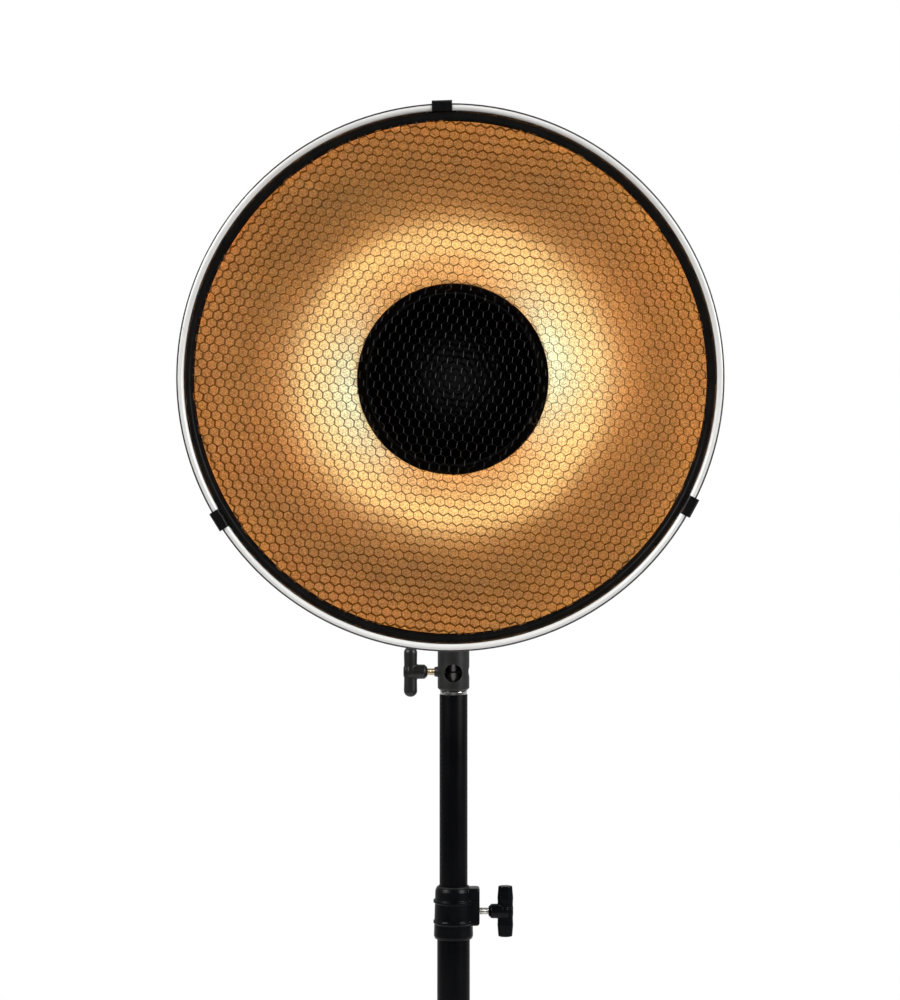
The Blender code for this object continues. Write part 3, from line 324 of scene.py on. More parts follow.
def make_materials():
    made = {}
    inside = Surface("dish_peened_silver", (0.80, 0.775, 0.74), 0.42, 0.55)
    made["dish_inside"] = inside.mottle(640, 0.5).cells(620, 0.22 * MM, 0.0012).grain(2400, 0.03 * MM)
    # Black outside paint, also laid on the mouth's inside as painted shade
    outside = Surface("dish_black_back_and_mouth_shade", (0.007, 0.007, 0.0075), 0.5, 0.0, 0.35)
    made["black_back_and_mouth_shade"] = outside.mottle(25, 0.3).smudges(14, 0.07).grain(1900, 0.05 * MM)
    rim = Surface("rim_off_white", (0.80, 0.79, 0.765), 0.33, 0.1)
    made["rim"] = rim.mottle(18, 0.05).smudges(60, 0.06).grain(900, 0.02 * MM)
    gloss = Surface("deflector_gloss_black", (0.006, 0.005, 0.004), 0.09)
    made["deflector"] = gloss.mottle(40, 0.3).smudges(30, 0.05).grain(500, 0.01 * MM)
    # The flange is black paint; its raised, warm brown-grey is painted glow, standing in for the dish's orange light on
    # it
    flange = Surface("deflector_flange_painted_glow", (0.075, 0.052, 0.040), 0.5, 0.0, 0.2)
    made["flange_painted_glow"] = flange.mottle(60, 0.3).smudges(30, 0.08).grain(1800, 0.03 * MM)
    back = Surface("deflector_back_silver", (0.72, 0.7, 0.66), 0.4, 0.6)
    made["deflector_back"] = back.mottle(200, 0.08).grain(900, 0.04 * MM)
    ring = Surface("grid_ring_black", (0.0035, 0.0034, 0.0032), 0.36, 0.0, 0.16)
    made["grid_ring"] = ring.mottle(50, 0.3).smudges(70, 0.1).grain(2200, 0.03 * MM)
    foil = Surface("honeycomb_foil", (0.013, 0.006, 0.003), 0.45, 0.1, 0.18)
    made["foil"] = foil.mottle(260, 0.45).smudges(150, 0.15).grain(900, 0.08 * MM)
    painted = Surface("foil_painted_edge", (0.003, 0.002, 0.0015), 0.8, 0.0, 0.05)
    made["foil_front"] = painted.mottle(700, 0.5).grain(1500, 0.03 * MM)
    # Light grey on the upright walls' ends: painted glints where these edges catch the light; the foil itself is black
    glint = Surface("foil_upright_edge_glint", (0.085, 0.087, 0.09), 0.55, 0.0)
    made["upright_edge_glint"] = glint.mottle(700, 0.5).grain(1500, 0.03 * MM)
    strap = Surface("strap_black_spring_steel", (0.003, 0.003, 0.0033), 0.33, 0.0, 0.2)
    made["strap"] = strap.mottle(180, 0.3).smudges(120, 0.09).grain(1500, 0.02 * MM)
    tube = Surface("tube_black_anodised", (0.0012, 0.0013, 0.0018), 0.34, 0.0, 0.1)
    drawn = tube.stretched((900, 900, 20))
    made["tube"] = tube.mottle(1, 0.35, drawn).smudges(22, 0.07).grain(1, 0.012 * MM, drawn)
    collar = Surface("collar_charcoal", (0.014, 0.0132, 0.013), 0.45, 0.1, 0.4)
    made["collar"] = collar.mottle(90, 0.25).smudges(60, 0.08).grain(1600, 0.04 * MM)
    made["cast"] = moulded("cast_black_coat", (0.0065, 0.0062, 0.006), 0.38)
    coat = Surface("clamp_gloss_coat", (0.0016, 0.0018, 0.0024), 0.3, 0.0, 0.12)
    made["clamp"] = coat.mottle(60, 0.25).smudges(45, 0.08).grain(2200, 0.03 * MM)
    made["plastic"] = moulded("black_plastic")
    made["housing"] = moulded("housing_powder_black", (0.012, 0.012, 0.013), 0.5)
    made["satin"] = moulded("yoke_satin_black", (0.008, 0.008, 0.0085), 0.4)
    made["rubber"] = moulded("rubber_grip", (0.016, 0.016, 0.016), 0.7)
    made["chrome"] = steel("riser_cap_chrome", (0.83, 0.82, 0.80), 0.12)
    made["steel"] = steel("bright_steel", (0.62, 0.60, 0.56), 0.26)
    made["brassy"] = steel("zinc_yellow_screw", (0.66, 0.52, 0.32), 0.3)
    ceramic = Surface("ceramic_white", (0.82, 0.8, 0.75), 0.55)
    made["ceramic"] = ceramic.mottle(60, 0.05).grain(800, 0.05 * MM)
    board = Surface("board_green", (0.03, 0.19, 0.08), 0.4)
    made["board"] = board.mottle(300, 0.3).grain(1200, 0.03 * MM)
    sleeve = Surface("capacitor_sleeve", (0.03, 0.07, 0.24), 0.35)
    made["capacitor"] = sleeve.mottle(80, 0.15).grain(400, 0.03 * MM)
    bulb = Surface("lamp_frosted_glass", (0.9, 0.8, 0.6), 0.4)
    made["bulb"] = lamp_beam(bulb.mottle(60, 0.05).grain(600, 0.02 * MM))
    ring_tube = Surface("flash_tube_glass", (0.85, 0.8, 0.7), 0.25)
    made["flash_tube"] = ring_tube.mottle(50, 0.05).grain(500, 0.01 * MM)
    mark = Surface("panel_print_grey", (0.5, 0.5, 0.5), 0.5)
    made["mark"] = mark.mottle(400, 0.1).grain(1500, 0.01 * MM)
    red = Surface("rocker_red", (0.35, 0.02, 0.015), 0.3)
    made["rocker"] = red.mottle(200, 0.1).grain(900, 0.01 * MM)
    return {key: value.material for key, value in made.items()}


LOOKS = make_materials()


# Mesh tools


def finish(name, shape, body, look, nodes=(), place=OPTICAL, crease=30):
    """Puts a finished mesh in the scene, in place, riding on its body, in place of CAD nodes."""
    bmesh.ops.recalc_face_normals(shape, faces=shape.faces)
    mesh = bpy.data.meshes.new(name)
    shape.to_mesh(mesh)
    shape.free()
    mesh.transform(place)
    for each in [look] if isinstance(look, str) else look:
        mesh.materials.append(LOOKS[each])
    mesh.shade_smooth()
    mesh.set_sharp_from_angle(angle=radians(crease))
    piece = bpy.data.objects.new(name, mesh)
    bpy.context.scene.collection.objects.link(piece)
    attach(piece, body)
    if nodes:
        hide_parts(nodes)
    return piece


def rounded(points, radius, closed=False, steps=3):
    """The outline with each corner turned into an arc. A corner given as (x, y, r) has its own radius."""
    result = []
    count = len(points)
    for i, corner in enumerate(points):
        here = Vector(corner[:2])
        wanted = corner[2] if len(corner) > 2 else radius
        if (not closed and i in (0, count - 1)) or wanted <= 0:
            result.append(tuple(here))
            continue
        to_last = Vector(points[i - 1][:2]) - here
        to_next = Vector(points[(i + 1) % count][:2]) - here
        angle = to_last.angle(to_next)
        if angle > radians(176):
            result.append(tuple(here))
            continue
        reach = min(wanted / tan(angle / 2), to_last.length * 0.49, to_next.length * 0.49)
        start = here + to_last.normalized() * reach
        end = here + to_next.normalized() * reach
        for k in range(steps + 1):
            t = k / steps
            blend = start * (1 - t) ** 2 + here * 2 * t * (1 - t) + end * t**2
            result.append(tuple(blend))
    return result


def arc(centre, radius, start, end, steps):
    angles = [start + (end - start) * i / steps for i in range(steps + 1)]
    return [(centre[0] + radius * cos(a), centre[1] + radius * sin(a)) for a in angles]


def polar(radius, angle, height=0.0):
    return (radius * cos(angle), radius * sin(angle), height)


def spun(profile, steps, ring=False, zones=None):
    """A solid of revolution round local Z as a bmesh. Open profiles start and end on the axis.
    zones gives each stretch of the profile a material index."""
    shape = bmesh.new()
    rows = []
    for radius, height in profile:
        if radius < 1e-7:
            rows.append([shape.verts.new((0, 0, height))])
            continue
        turns = [2 * pi * i / steps for i in range(steps)]
        rows.append([shape.verts.new(polar(radius, a, height)) for a in turns])
    pairs = list(zip(rows, rows[1:] + rows[:1])) if ring else list(zip(rows, rows[1:]))
    for index, (first, second) in enumerate(pairs):
        for i in range(steps):
            j = (i + 1) % steps
            corners = [first[i % len(first)], second[i % len(second)], second[j % len(second)], first[j % len(first)]]
            corners = list(dict.fromkeys(corners))
            if len(corners) > 2:
                face = shape.faces.new(corners)
                face.material_index = zones[index] if zones else 0
    return shape


def ring_of(outline, radius, steps):
    """A ring round local Z with a closed section, its corners rounded."""
    return spun(rounded(outline, radius, closed=True), steps, ring=True)


def slab(outline, thickness, bevel=0.0, segments=2):
    """A flat outline in local XY with its thickness along Z from 0, its rims rounded."""
    shape = bmesh.new()
    corners = [shape.verts.new((x, y, 0)) for x, y in outline]
    base = shape.faces.new(corners)
    raised = bmesh.ops.extrude_face_region(shape, geom=[base])
    top = [each for each in raised["geom"] if isinstance(each, bmesh.types.BMVert)]
    bmesh.ops.translate(shape, vec=(0, 0, thickness), verts=top)
    bmesh.ops.recalc_face_normals(shape, faces=shape.faces)
    if bevel:
        flat = [e for e in shape.edges if abs(e.verts[0].co.z - e.verts[1].co.z) < 1e-7]
        bmesh.ops.bevel(shape, geom=flat, offset=bevel, segments=segments, affect="EDGES", profile=0.5)
    return shape


def block(size, bevel, segments=3):
    shape = bmesh.new()
    bmesh.ops.create_cube(shape, size=1)
    bmesh.ops.scale(shape, vec=size, verts=shape.verts)
    bmesh.ops.bevel(shape, geom=shape.edges[:], offset=bevel, segments=segments, affect="EDGES", profile=0.5)
    return shape


def swept(path, radius, sides=20):
    """A round bar along a path of points, with closed ends."""
    shape = bmesh.new()
    points = [Vector(p) for p in path]
    rings = []
    side = None
    for i, point in enumerate(points):
        ahead = points[min(i + 1, len(points) - 1)] - points[max(i - 1, 0)]
        ahead.normalize()
        if side is None:
            side = ahead.orthogonal().normalized()
        side = (side - ahead * side.dot(ahead)).normalized()
        other = ahead.cross(side)
        turns = [2 * pi * k / sides for k in range(sides)]
        rings.append([shape.verts.new(point + radius * (side * cos(a) + other * sin(a))) for a in turns])
    for first, second in zip(rings, rings[1:]):
        for k in range(sides):
            shape.faces.new([first[k], first[(k + 1) % sides], second[(k + 1) % sides], second[k]])
    shape.faces.new(rings[0])
    shape.faces.new(rings[-1][::-1])
    return shape


def moved(shape, matrix):
    bmesh.ops.transform(shape, matrix=matrix, verts=shape.verts)
    return shape


def placed(shape, x, y, z):
    return moved(shape, shift(x, y, z))


def lifted(shape, height):
    return placed(shape, 0, 0, height)


def temporary(shape, name="temporary"):
    bmesh.ops.recalc_face_normals(shape, faces=shape.faces)
    mesh = bpy.data.meshes.new(name)
    shape.to_mesh(mesh)
    shape.free()
    made = bpy.data.objects.new(name, mesh)
    bpy.context.scene.collection.objects.link(made)
    return made


def carved(shape, cutters=(), additions=(), voxel=0.0, smoothing=0):
    """The bmesh with others added and cut away, and then, if asked, fused like a casting."""
    base = temporary(shape)
    others = []
    for group, operation in ((additions, "UNION"), (cutters, "DIFFERENCE")):
        for other in group:
            others.append(temporary(other))
            modifier = base.modifiers.new(operation, "BOOLEAN")
            modifier.operation = operation
            modifier.object = others[-1]
    if voxel:
        remesh = base.modifiers.new("fuse", "REMESH")
        remesh.mode = "VOXEL"
        remesh.voxel_size = voxel
    if smoothing:
        smooth = base.modifiers.new("smooth", "SMOOTH")
        smooth.iterations = smoothing
        smooth.factor = 0.5
    bpy.context.view_layer.update()
    graph = bpy.context.evaluated_depsgraph_get()
    result = bmesh.new()
    result.from_mesh(base.evaluated_get(graph).to_mesh())
    for each in [base] + others:
        mesh = each.data
        bpy.data.objects.remove(each)
        bpy.data.meshes.remove(mesh)
    return result


def rod(radius, length, sides=SMALL, bevel=0.0, start=0.0):
    """A bar along local Z with rounded rims."""
    profile = [(0, start + length), (radius, start + length), (radius, start), (0, start)]
    return spun(rounded(profile, bevel) if bevel else profile, sides)


def facing(direction, place):
    """A matrix that turns local Z to a direction and moves to a place."""
    turn = Vector((0, 0, 1)).rotation_difference(Vector(direction)).to_matrix().to_4x4()
    return shift(*place) @ turn


# Reflector: dish, rim, deflector and its posts

MOUTH_RADIUS = DISH_RADIUS - 7.5 * MM
SHOULDER_RADIUS = MOUTH_RADIUS - 1.8 * MM
FLANGE_H = RIM_FRONT - 7 * MM
SHOULDER_H = FLANGE_H - 14 * MM
SHEET = 1.2 * MM
BASE_H = DISH_BACK + SHEET
BASE_RADIUS = 98 * MM
LAMP_HOLE_RADIUS = 50 * MM


def bowl_curve(steps):
    """The dish's inside: its parabola from the flat base out to the shoulder."""
    depth = (SHOULDER_H - BASE_H) / (1 - (BASE_RADIUS / SHOULDER_RADIUS) ** 2)
    radii = [BASE_RADIUS + (SHOULDER_RADIUS - BASE_RADIUS) * i / steps for i in range(steps + 1)]
    return [(r, SHOULDER_H - depth * (1 - (r / SHOULDER_RADIUS) ** 2)) for r in radii]


def offset_curve(points, distance):
    """The open outline moved sideways, to its right."""
    result = []
    for i, point in enumerate(points):
        ahead = Vector(points[min(i + 1, len(points) - 1)]) - Vector(points[max(i - 1, 0)])
        ahead.normalize()
        result.append((point[0] + ahead.y * distance, point[1] - ahead.x * distance))
    return result


def build_dish():
    mouth = [(MOUTH_RADIUS, SHOULDER_H + 2 * MM), (MOUTH_RADIUS, FLANGE_H), (DISH_RADIUS - 0.4 * MM, FLANGE_H)]
    bright = [(LAMP_HOLE_RADIUS, BASE_H)] + bowl_curve(36)
    front = bright + rounded([bright[-1]] + mouth, MM)[1:]
    back = offset_curve(front, SHEET)
    outline = front + back[::-1]
    # The mouth's inside, from the shoulder to the flange, takes the outside's black: painted shade where the grid
    # ring's sleeve shades it
    silver = len(bright) - 1
    zones = [0] * silver + [1] * (len(outline) - silver)
    shape = spun(outline, FINE, ring=True, zones=zones)
    look = ["dish_inside", "black_back_and_mouth_shade"]
    finish("reflector_dish_shell", shape, "reflector", look, "reflector_dish")


def build_rim():
    """The rolled bead, white in front, with the sheet's dark back wrapped round its outer edge."""
    thickness = RIM_TUBE + 0.4 * MM
    middle = (RIM_RADIUS - thickness, RIM_FRONT - RIM_TUBE)
    steps = 48
    tube = arc(middle, thickness, 2 * pi, 0, steps)[:-1]
    dark_from = radians(-115)
    dark_to = radians(57)
    angles = [2 * pi * (1 - (i + 0.5) / steps) for i in range(steps)]
    angles = [a - 2 * pi if a > pi else a for a in angles]
    zones = [1 if dark_from < a < dark_to else 0 for a in angles]
    shape = spun(tube, FINE, ring=True, zones=zones)
    finish("rim_bead", shape, "reflector", ["rim", "black_back_and_mouth_shade"], "rim_ring")


def dome(radius, rise, steps):
    """Points of a cap's profile, from its edge to the middle, above height 0."""
    curve = (radius**2 + rise**2) / (2 * rise)
    radii = [radius * (1 - i / steps) for i in range(steps + 1)]
    return [(r, sqrt(curve**2 - r**2) - (curve - rise)) for r in radii]


def build_deflector():
    sheet = 0.7 * MM
    dome_radius = 84 * MM
    rise = 15 * MM
    front = DEFLECTOR_FRONT_DOME - rise + 1.8 * MM
    floor = front - 1.8 * MM
    lip = half_width("deflector")
    edge = [(lip, front - 4 * MM), (lip, front, 1.8 * MM), (dome_radius + 2.8 * MM, front, 1.2 * MM)]
    edge += [(dome_radius + 2.2 * MM, floor), (dome_radius, floor)]
    top = rounded(edge, 0.6 * MM)
    top += [(r, floor + h) for r, h in dome(dome_radius, rise, 28)][1:]
    under = offset_curve(top, -sheet)
    under[-1] = (0, top[-1][1] - sheet)
    outline = top[::-1] + under
    count = len(top)
    groove = sum(1 for r, h in top if r > dome_radius + 1.2 * MM)
    # the flange and its lip take the painted-glow brown-grey
    zones = [0] * (count - groove) + [1] * groove + [2] * count
    shape = spun(outline, 128, zones=zones[: len(outline) - 1])
    holes = [
        moved(rod(2.9 * MM, 14 * MM), shift(*polar(POST_CIRCLE, a, front - 10 * MM))) for a in POST_ANGLES
    ]
    shape = carved(shape, holes)
    look = ["deflector", "flange_painted_glow", "deflector_back"]
    finish("deflector_disc", shape, "reflector", look, "deflector", place=OPTICAL @ SAG)
    return front


# the posts lean a little, so the deflector sits low and to the right
SAG = shift(2.0 * MM, -1.6 * MM, 0)

POST_ANGLES = [
    atan2(*((centre_of(f"deflector_post_{i}") - TILT_AXIS).zx)) for i in (1, 2, 3)
]
POST_CIRCLE = hypot(*((centre_of("deflector_post_1") - TILT_AXIS).xz))


def build_posts(front):
    low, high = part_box("deflector_post_1")
    tip, tail = forwards(low.y), forwards(high.y)
    shoulder = front - 1.3 * MM
    base = BASE_H + 0.3 * MM
    for i, angle in enumerate(POST_ANGLES):
        profile = [(0, tip), (2.3 * MM, tip), (2.3 * MM, shoulder), (2.8 * MM, shoulder)]
        profile += [(2.8 * MM, base), (1.6 * MM, base), (1.6 * MM, tail), (0, tail)]
        shape = spun(rounded(profile, 0.35 * MM), SMALL)
        slot = lifted(block((0.7 * MM, 5 * MM, 1.4 * MM), 0.1 * MM), tip)
        shape = carved(shape, [slot])
        for corner in shape.verts:
            corner.co += SAG.translation * max(0, corner.co.z - base) / (front - base)
        place = OPTICAL @ shift(*polar(POST_CIRCLE, angle))
        post = finish(f"post_{i + 1}", shape, "reflector", "satin", f"deflector_post_{i + 1}", place=place)
        # the real lamp is wide enough to light round the posts
        post.visible_shadow = post.visible_diffuse = post.visible_glossy = False
        nut_low, nut_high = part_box(f"post_nut_{i + 1}")
        nut = hex_nut(8 * MM, nut_high.y - nut_low.y, 1.75 * MM)
        place = OPTICAL @ shift(*polar(POST_CIRCLE, angle, forwards(nut_high.y)))
        finish(f"nut_{i + 1}", nut, "reflector", "steel", f"post_nut_{i + 1}", place=place)


def hex_nut(across, height, bore):
    """A nut with chamfered corners: a hexagonal prism inside a chamfered disc, with its hole."""
    corner = across / sqrt(3)
    outline = [polar(corner, radians(60 * i))[:2] for i in range(6)]
    prism = slab(outline, height)
    chamfer = 0.12 * across
    disc = [(0, height), (across / 2, height), (across / 2 + chamfer, height - chamfer * 0.6)]
    disc += [(across / 2 + chamfer, chamfer * 0.6), (across / 2, 0), (0, 0)]
    trimmed = crossed(prism, spun(disc, SMALL))
    if bore:
        trimmed = carved(trimmed, [rod(bore, height * 3, SMALL, start=-height)])
    return trimmed


def crossed(shape, other):
    """The part that both shapes share."""
    base = temporary(shape)
    tool = temporary(other)
    modifier = base.modifiers.new("cross", "BOOLEAN")
    modifier.operation = "INTERSECT"
    modifier.object = tool
    bpy.context.view_layer.update()
    result = bmesh.new()
    result.from_mesh(base.evaluated_get(bpy.context.evaluated_depsgraph_get()).to_mesh())
    for each in (base, tool):
        mesh = each.data
        bpy.data.objects.remove(each)
        bpy.data.meshes.remove(mesh)
    return result


# Grid: ring, honeycomb and straps

CELL_PITCH = 9.6 * MM
ROW_PITCH = 8.02 * MM
ROW_TURN = radians(-7)
FOIL = 0.31 * MM


def build_grid_ring():
    """A folded channel whose front lip is stepped down near its inner edge, with one butt joint."""
    lip = half_width("grid_ring") - 7.0 * MM
    sheet = 0.9 * MM
    step = 2.6 * MM
    low = GRID_FRONT - 0.7 * MM
    web = GRID_RADIUS - sheet
    outline = [(lip, low), (lip + step, low), (lip + step + 0.5 * MM, GRID_FRONT), (GRID_RADIUS, GRID_FRONT)]
    outline += [(GRID_RADIUS, GRID_BACK), (lip, GRID_BACK), (lip, GRID_BACK + sheet), (web, GRID_BACK + sheet)]
    outline += [(web, GRID_FRONT - sheet), (lip + step + 0.7 * MM, GRID_FRONT - sheet), (lip + step, low - sheet)]
    outline += [(lip, low - sheet)]
    shape = spun(rounded(outline, 0.35 * MM, closed=True, steps=2), FINE, ring=True)
    seam = block((12 * MM, 0.35 * MM, 1.0 * MM), 0.05 * MM)
    seam_angle = radians(-28.5)
    turn = Matrix.Rotation(seam_angle, 4, "Z") @ shift(lip + 4 * MM, 0, GRID_FRONT)
    shape = carved(shape, [moved(seam, turn)])
    finish("grid_channel", shape, "grid", "grid_ring", "grid_ring")


def honeycomb_points():
    """Cell centres by row and place, the radius that bounds them, and the random source and waves from which each
    lattice corner's shift is drawn, which makes the cells uneven.
    """
    chance = random.Random(5)
    limit = half_width("grid_honeycomb") - 0.4 * MM
    rows = int(limit / ROW_PITCH) + 2
    places = int(limit / CELL_PITCH) + 3
    waves = [chance.uniform(0, 2 * pi) for _ in range(4)]
    cells = {}
    for j in range(-rows, rows + 1):
        for i in range(-places, places + 1):
            cells[(i, j)] = ((i + (j % 2) / 2) * CELL_PITCH, j * ROW_PITCH)
    return cells, limit, chance, waves


def build_honeycomb():
    """Thin foil walls between hexagonal cells. Each wall is a strip between two cells, and strips meet in threes."""
    cells, limit, chance, waves = honeycomb_points()
    low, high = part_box("grid_honeycomb")
    bottom, top = forwards(high.y), forwards(low.y)
    third = ROW_PITCH / 3
    half = CELL_PITCH / 2
    ring = [(half, -third), (half, third), (0, 2 * third), (-half, third), (-half, -third), (0, -2 * third)]
    shifts = {}

    def corner_key(x, y):
        return round(x / (half * 0.5)), round(y / (third * 0.5))

    def jog(x, y):
        key = corner_key(x, y)
        if key not in shifts:
            ripple = 0.5 * MM * sin(26 * x + 9 * y + waves[0]) * sin(17 * y - 7 * x + waves[1])
            shifts[key] = (chance.gauss(0, 0.22 * MM) + ripple, chance.gauss(0, 0.22 * MM) - 0.6 * ripple)
        return shifts[key]

    def is_kept(x, y):
        return all(hypot(x + cx, y + cy) < limit for cx, cy in ring)

    shape = bmesh.new()
    inner = {}
    kept = {key for key, (x, y) in cells.items() if is_kept(x, y)}
    for key, (x, y) in cells.items():
        if hypot(x, y) > limit + CELL_PITCH:
            continue
        corners = []
        for cx, cy in ring:
            dx, dy = jog(x + cx, y + cy)
            pull = 1 - FOIL / CELL_PITCH * 1.15
            corners.append((x + cx * pull + dx, y + cy * pull + dy, corner_key(x + cx, y + cy)))
        inner[key] = corners
    made = {}

    def vertex(key, k):
        if (key, k) not in made:
            x, y, _ = inner[key][k]
            made[(key, k)] = shape.verts.new((x, y, 0))
        return made[(key, k)]

    meeting = {}
    for key, corners in inner.items():
        for k, (_, _, lattice) in enumerate(corners):
            meeting.setdefault(lattice, []).append((key, k))
    walls = {}
    upright = []
    for key, corners in inner.items():
        for k in range(6):
            edge = frozenset((corners[k][2], corners[(k + 1) % 6][2]))
            walls.setdefault(edge, []).append((key, k))
    for pair in walls.values():
        if len(pair) == 2 and (pair[0][0] in kept or pair[1][0] in kept):
            (a, k), (b, m) = pair
            wall = shape.faces.new([vertex(a, (k + 1) % 6), vertex(a, k), vertex(b, (m + 1) % 6), vertex(b, m)])
            if a[1] == b[1]:
                upright.append(wall)
    for group in meeting.values():
        if len(group) == 3 and all(each in made for each in group):
            used = [made[each] for each in group]
            if sum(1 for each in group if each[0] in kept) >= 1 and all(v.link_faces for v in used):
                middle = sum((v.co for v in used), Vector()) / 3
                used.sort(key=lambda v: atan2(v.co.y - middle.y, v.co.x - middle.x))
                shape.faces.new(used)
    bmesh.ops.recalc_face_normals(shape, faces=shape.faces)
    for end in shape.faces:
        end.material_index = 2
    # The upright walls' ends take the light grey of painted glints; the other ends stay black
    for wall in upright:
        wall.material_index = 1
    raised = bmesh.ops.extrude_face_region(shape, geom=shape.faces[:])
    up = [each for each in raised["geom"] if isinstance(each, bmesh.types.BMVert)]
    bmesh.ops.translate(shape, vec=(0, 0, top - bottom), verts=up)
    for face in shape.faces:
        if abs(face.normal.z) < 0.5:
            face.material_index = 0
    place = OPTICAL @ shift(0, 0, bottom) @ Matrix.Rotation(ROW_TURN, 4, "Z")
    look = ["foil", "upright_edge_glint", "foil_front"]
    finish("honeycomb_core", shape, "grid", look, "grid_honeycomb", place=place, crease=20)


def strip(path, thickness, width, bevel=0.12 * MM):
    """Sheet metal bent along a path in local XY, its width along Z from 0."""
    left = offset_curve(path, -thickness / 2)
    right = offset_curve(path, thickness / 2)
    return slab(left + right[::-1], width, bevel, 1)


def build_clips():
    """Spring straps: each stands on a riveted foot beside the ring and bends over the rim."""
    for side in ("top", "left", "right"):
        place = Vector(joint(f"clip_{side}_lift")["pos_m"])
        angle = atan2(place.z - AXIS_HEIGHT, place.x)
        pivot = hypot(place.z - AXIS_HEIGHT, place.x)
        width = 19.6 * MM
        sheet = 0.5 * MM
        front = RIM_FRONT + 0.85 * MM
        side_radius = DISH_RADIUS + 1.15 * MM
        back = FLANGE_H - 8 * MM
        corners = [(pivot + 0.15 * MM, GRID_FRONT + 0.1 * MM), (pivot + 0.15 * MM, front, 2.6 * MM)]
        corners += [(side_radius, front - 0.2 * MM, 2.4 * MM), (side_radius, back, 1.5 * MM)]
        corners += [(side_radius + 2.4 * MM, back - 3 * MM)]
        path = rounded(corners, MM, steps=6)
        shape = strip(path, sheet, width)
        stand = Matrix.Rotation(angle, 4, "Z") @ about("X", 90)
        matrix = OPTICAL @ stand @ shift(0, 0, -width / 2)
        finish(f"strap_{side}", shape, f"clip_{side}", "strap", f"clip_hook_{side}", place=matrix)
        build_foot(side, angle)


def build_foot(side, angle):
    """The strap's foot, wrapped round the ring's outer wall, and its two rivets."""
    inside = GRID_RADIUS + 0.3 * MM
    half = 21 * MM / inside
    steps = 14
    angles = [angle - half + 2 * half * i / steps for i in range(steps + 1)]
    outline = [polar(inside, a)[:2] for a in angles] + [polar(inside + 0.7 * MM, a)[:2] for a in angles[::-1]]
    shape = slab(rounded(outline, 0.2 * MM, closed=True, steps=1), 11.5 * MM, 0.12 * MM, 1)
    matrix = OPTICAL @ shift(0, 0, GRID_BACK + 4 * MM)
    finish(f"strap_foot_{side}", shape, "grid", "strap", f"clip_base_{side}", place=matrix)
    for end, offset in (("a", -14.5 * MM), ("b", 14.5 * MM)):
        turn = angle + offset / inside
        profile = [(0, 0.75 * MM), (0.9 * MM, 0.6 * MM), (1.5 * MM, 0.1 * MM), (1.5 * MM, -0.2 * MM), (0, -0.2 * MM)]
        head = spun(rounded(profile, 0.2 * MM), 20)
        seat = Vector(polar(inside + 0.7 * MM, turn, GRID_FRONT - 3.6 * MM))
        matrix = OPTICAL @ facing(Vector(polar(1, turn)), seat)
        finish(f"rivet_{side}_{end}", head, "grid", "steel", place=matrix)


# Stand: column, clamp, riser, spigot


def build_tubes():
    low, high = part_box("column_tube")
    radius = half_width("column_tube")
    bore = radius - 1.5 * MM
    outline = [(bore, high.z), (radius, high.z), (radius, low.z), (bore, low.z)]
    shape = ring_of(outline, 0.4 * MM, ROUND)
    finish("column", shape, "column", "tube", "column_tube", place=UPRIGHT)

    low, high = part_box("riser_tube")
    radius = half_width("riser_tube")
    bore = radius - 1.5 * MM
    outline = [(bore, high.z), (radius, high.z), (radius, low.z), (bore, low.z)]
    shape = ring_of(outline, 0.4 * MM, ROUND)
    finish("riser", shape, "riser", "tube", "riser_tube", place=UPRIGHT)

    low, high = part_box("riser_cap")
    wide = half_width("riser_cap")
    seat = high.z - 3.7 * MM
    stem = 6.3 * MM
    outline = [(stem, high.z), (wide, high.z, 0.8 * MM), (wide, seat), (13.2 * MM, seat), (13.2 * MM, low.z)]
    outline += [(stem, low.z)]
    shape = ring_of(outline, 0.3 * MM, ROUND)
    finish("riser_top_cap", shape, "riser", "chrome", "riser_cap", place=UPRIGHT)

    low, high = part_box("column_foot")
    wide = half_width("column_foot")
    plug = 15.7 * MM
    ledge = 3.7 * MM
    outline = [(0, high.z), (plug, high.z, MM), (plug, ledge), (wide, ledge), (wide, 0, 1.1 * MM), (7 * MM, 0)]
    outline += [(7 * MM, 1.2 * MM), (5 * MM, 1.2 * MM), (5 * MM, 0), (0, 0)]
    shape = spun(rounded(outline, 0.3 * MM), ROUND)
    finish("column_foot_plug", shape, "column", "plastic", "column_foot", place=UPRIGHT)


def build_spigot():
    """A hardened pin with a waist where the socket's screw bears, and fine turning marks."""
    low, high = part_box("spigot")
    radius = half_width("spigot")
    screw_height = joint("socket_lock_turn")["pos_m"][2]
    waist = radius - 1.5 * MM
    cap_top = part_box("riser_cap")[1].z + 0.3 * MM
    outline = [(0, high.z), (radius, high.z, 1.5 * MM), (radius, screw_height + 12.5 * MM)]
    outline += [(waist, screw_height + 11 * MM), (waist, screw_height + MM), (radius, screw_height - 0.5 * MM)]
    outline += [(radius, cap_top), (6 * MM, cap_top), (6 * MM, low.z), (0, low.z)]
    shape = spun(rounded(outline, 0.4 * MM), ROUND)
    finish("spigot_pin", shape, "riser", "steel", "spigot", place=UPRIGHT)


def threaded(radius, pitch, start, end, sides=28):
    """A screw along local Z with real thread ridges, from its start to its end."""
    depth = pitch * 0.32
    shape = bmesh.new()
    steps_per_turn = sides
    turns = int((end - start) / pitch)
    rows = []
    levels = turns * 4
    for level in range(levels + 1):
        height = start + (end - start) * level / levels
        row = []
        for k in range(steps_per_turn):
            angle = 2 * pi * k / steps_per_turn
            phase = (height - start) / pitch - k / steps_per_turn
            ridge = abs((phase % 1.0) - 0.5) * 2
            taper = min(1.0, level / 3, (levels - level) / 3 + 0.4)
            row.append(shape.verts.new(polar(radius - depth * (1 - ridge * taper), angle, height)))
        rows.append(row)
    for first, second in zip(rows, rows[1:]):
        for k in range(steps_per_turn):
            m = (k + 1) % steps_per_turn
            shape.faces.new([first[k], first[m], second[m], second[k]])
    shape.faces.new(rows[0][::-1])
    shape.faces.new(rows[-1])
    return shape


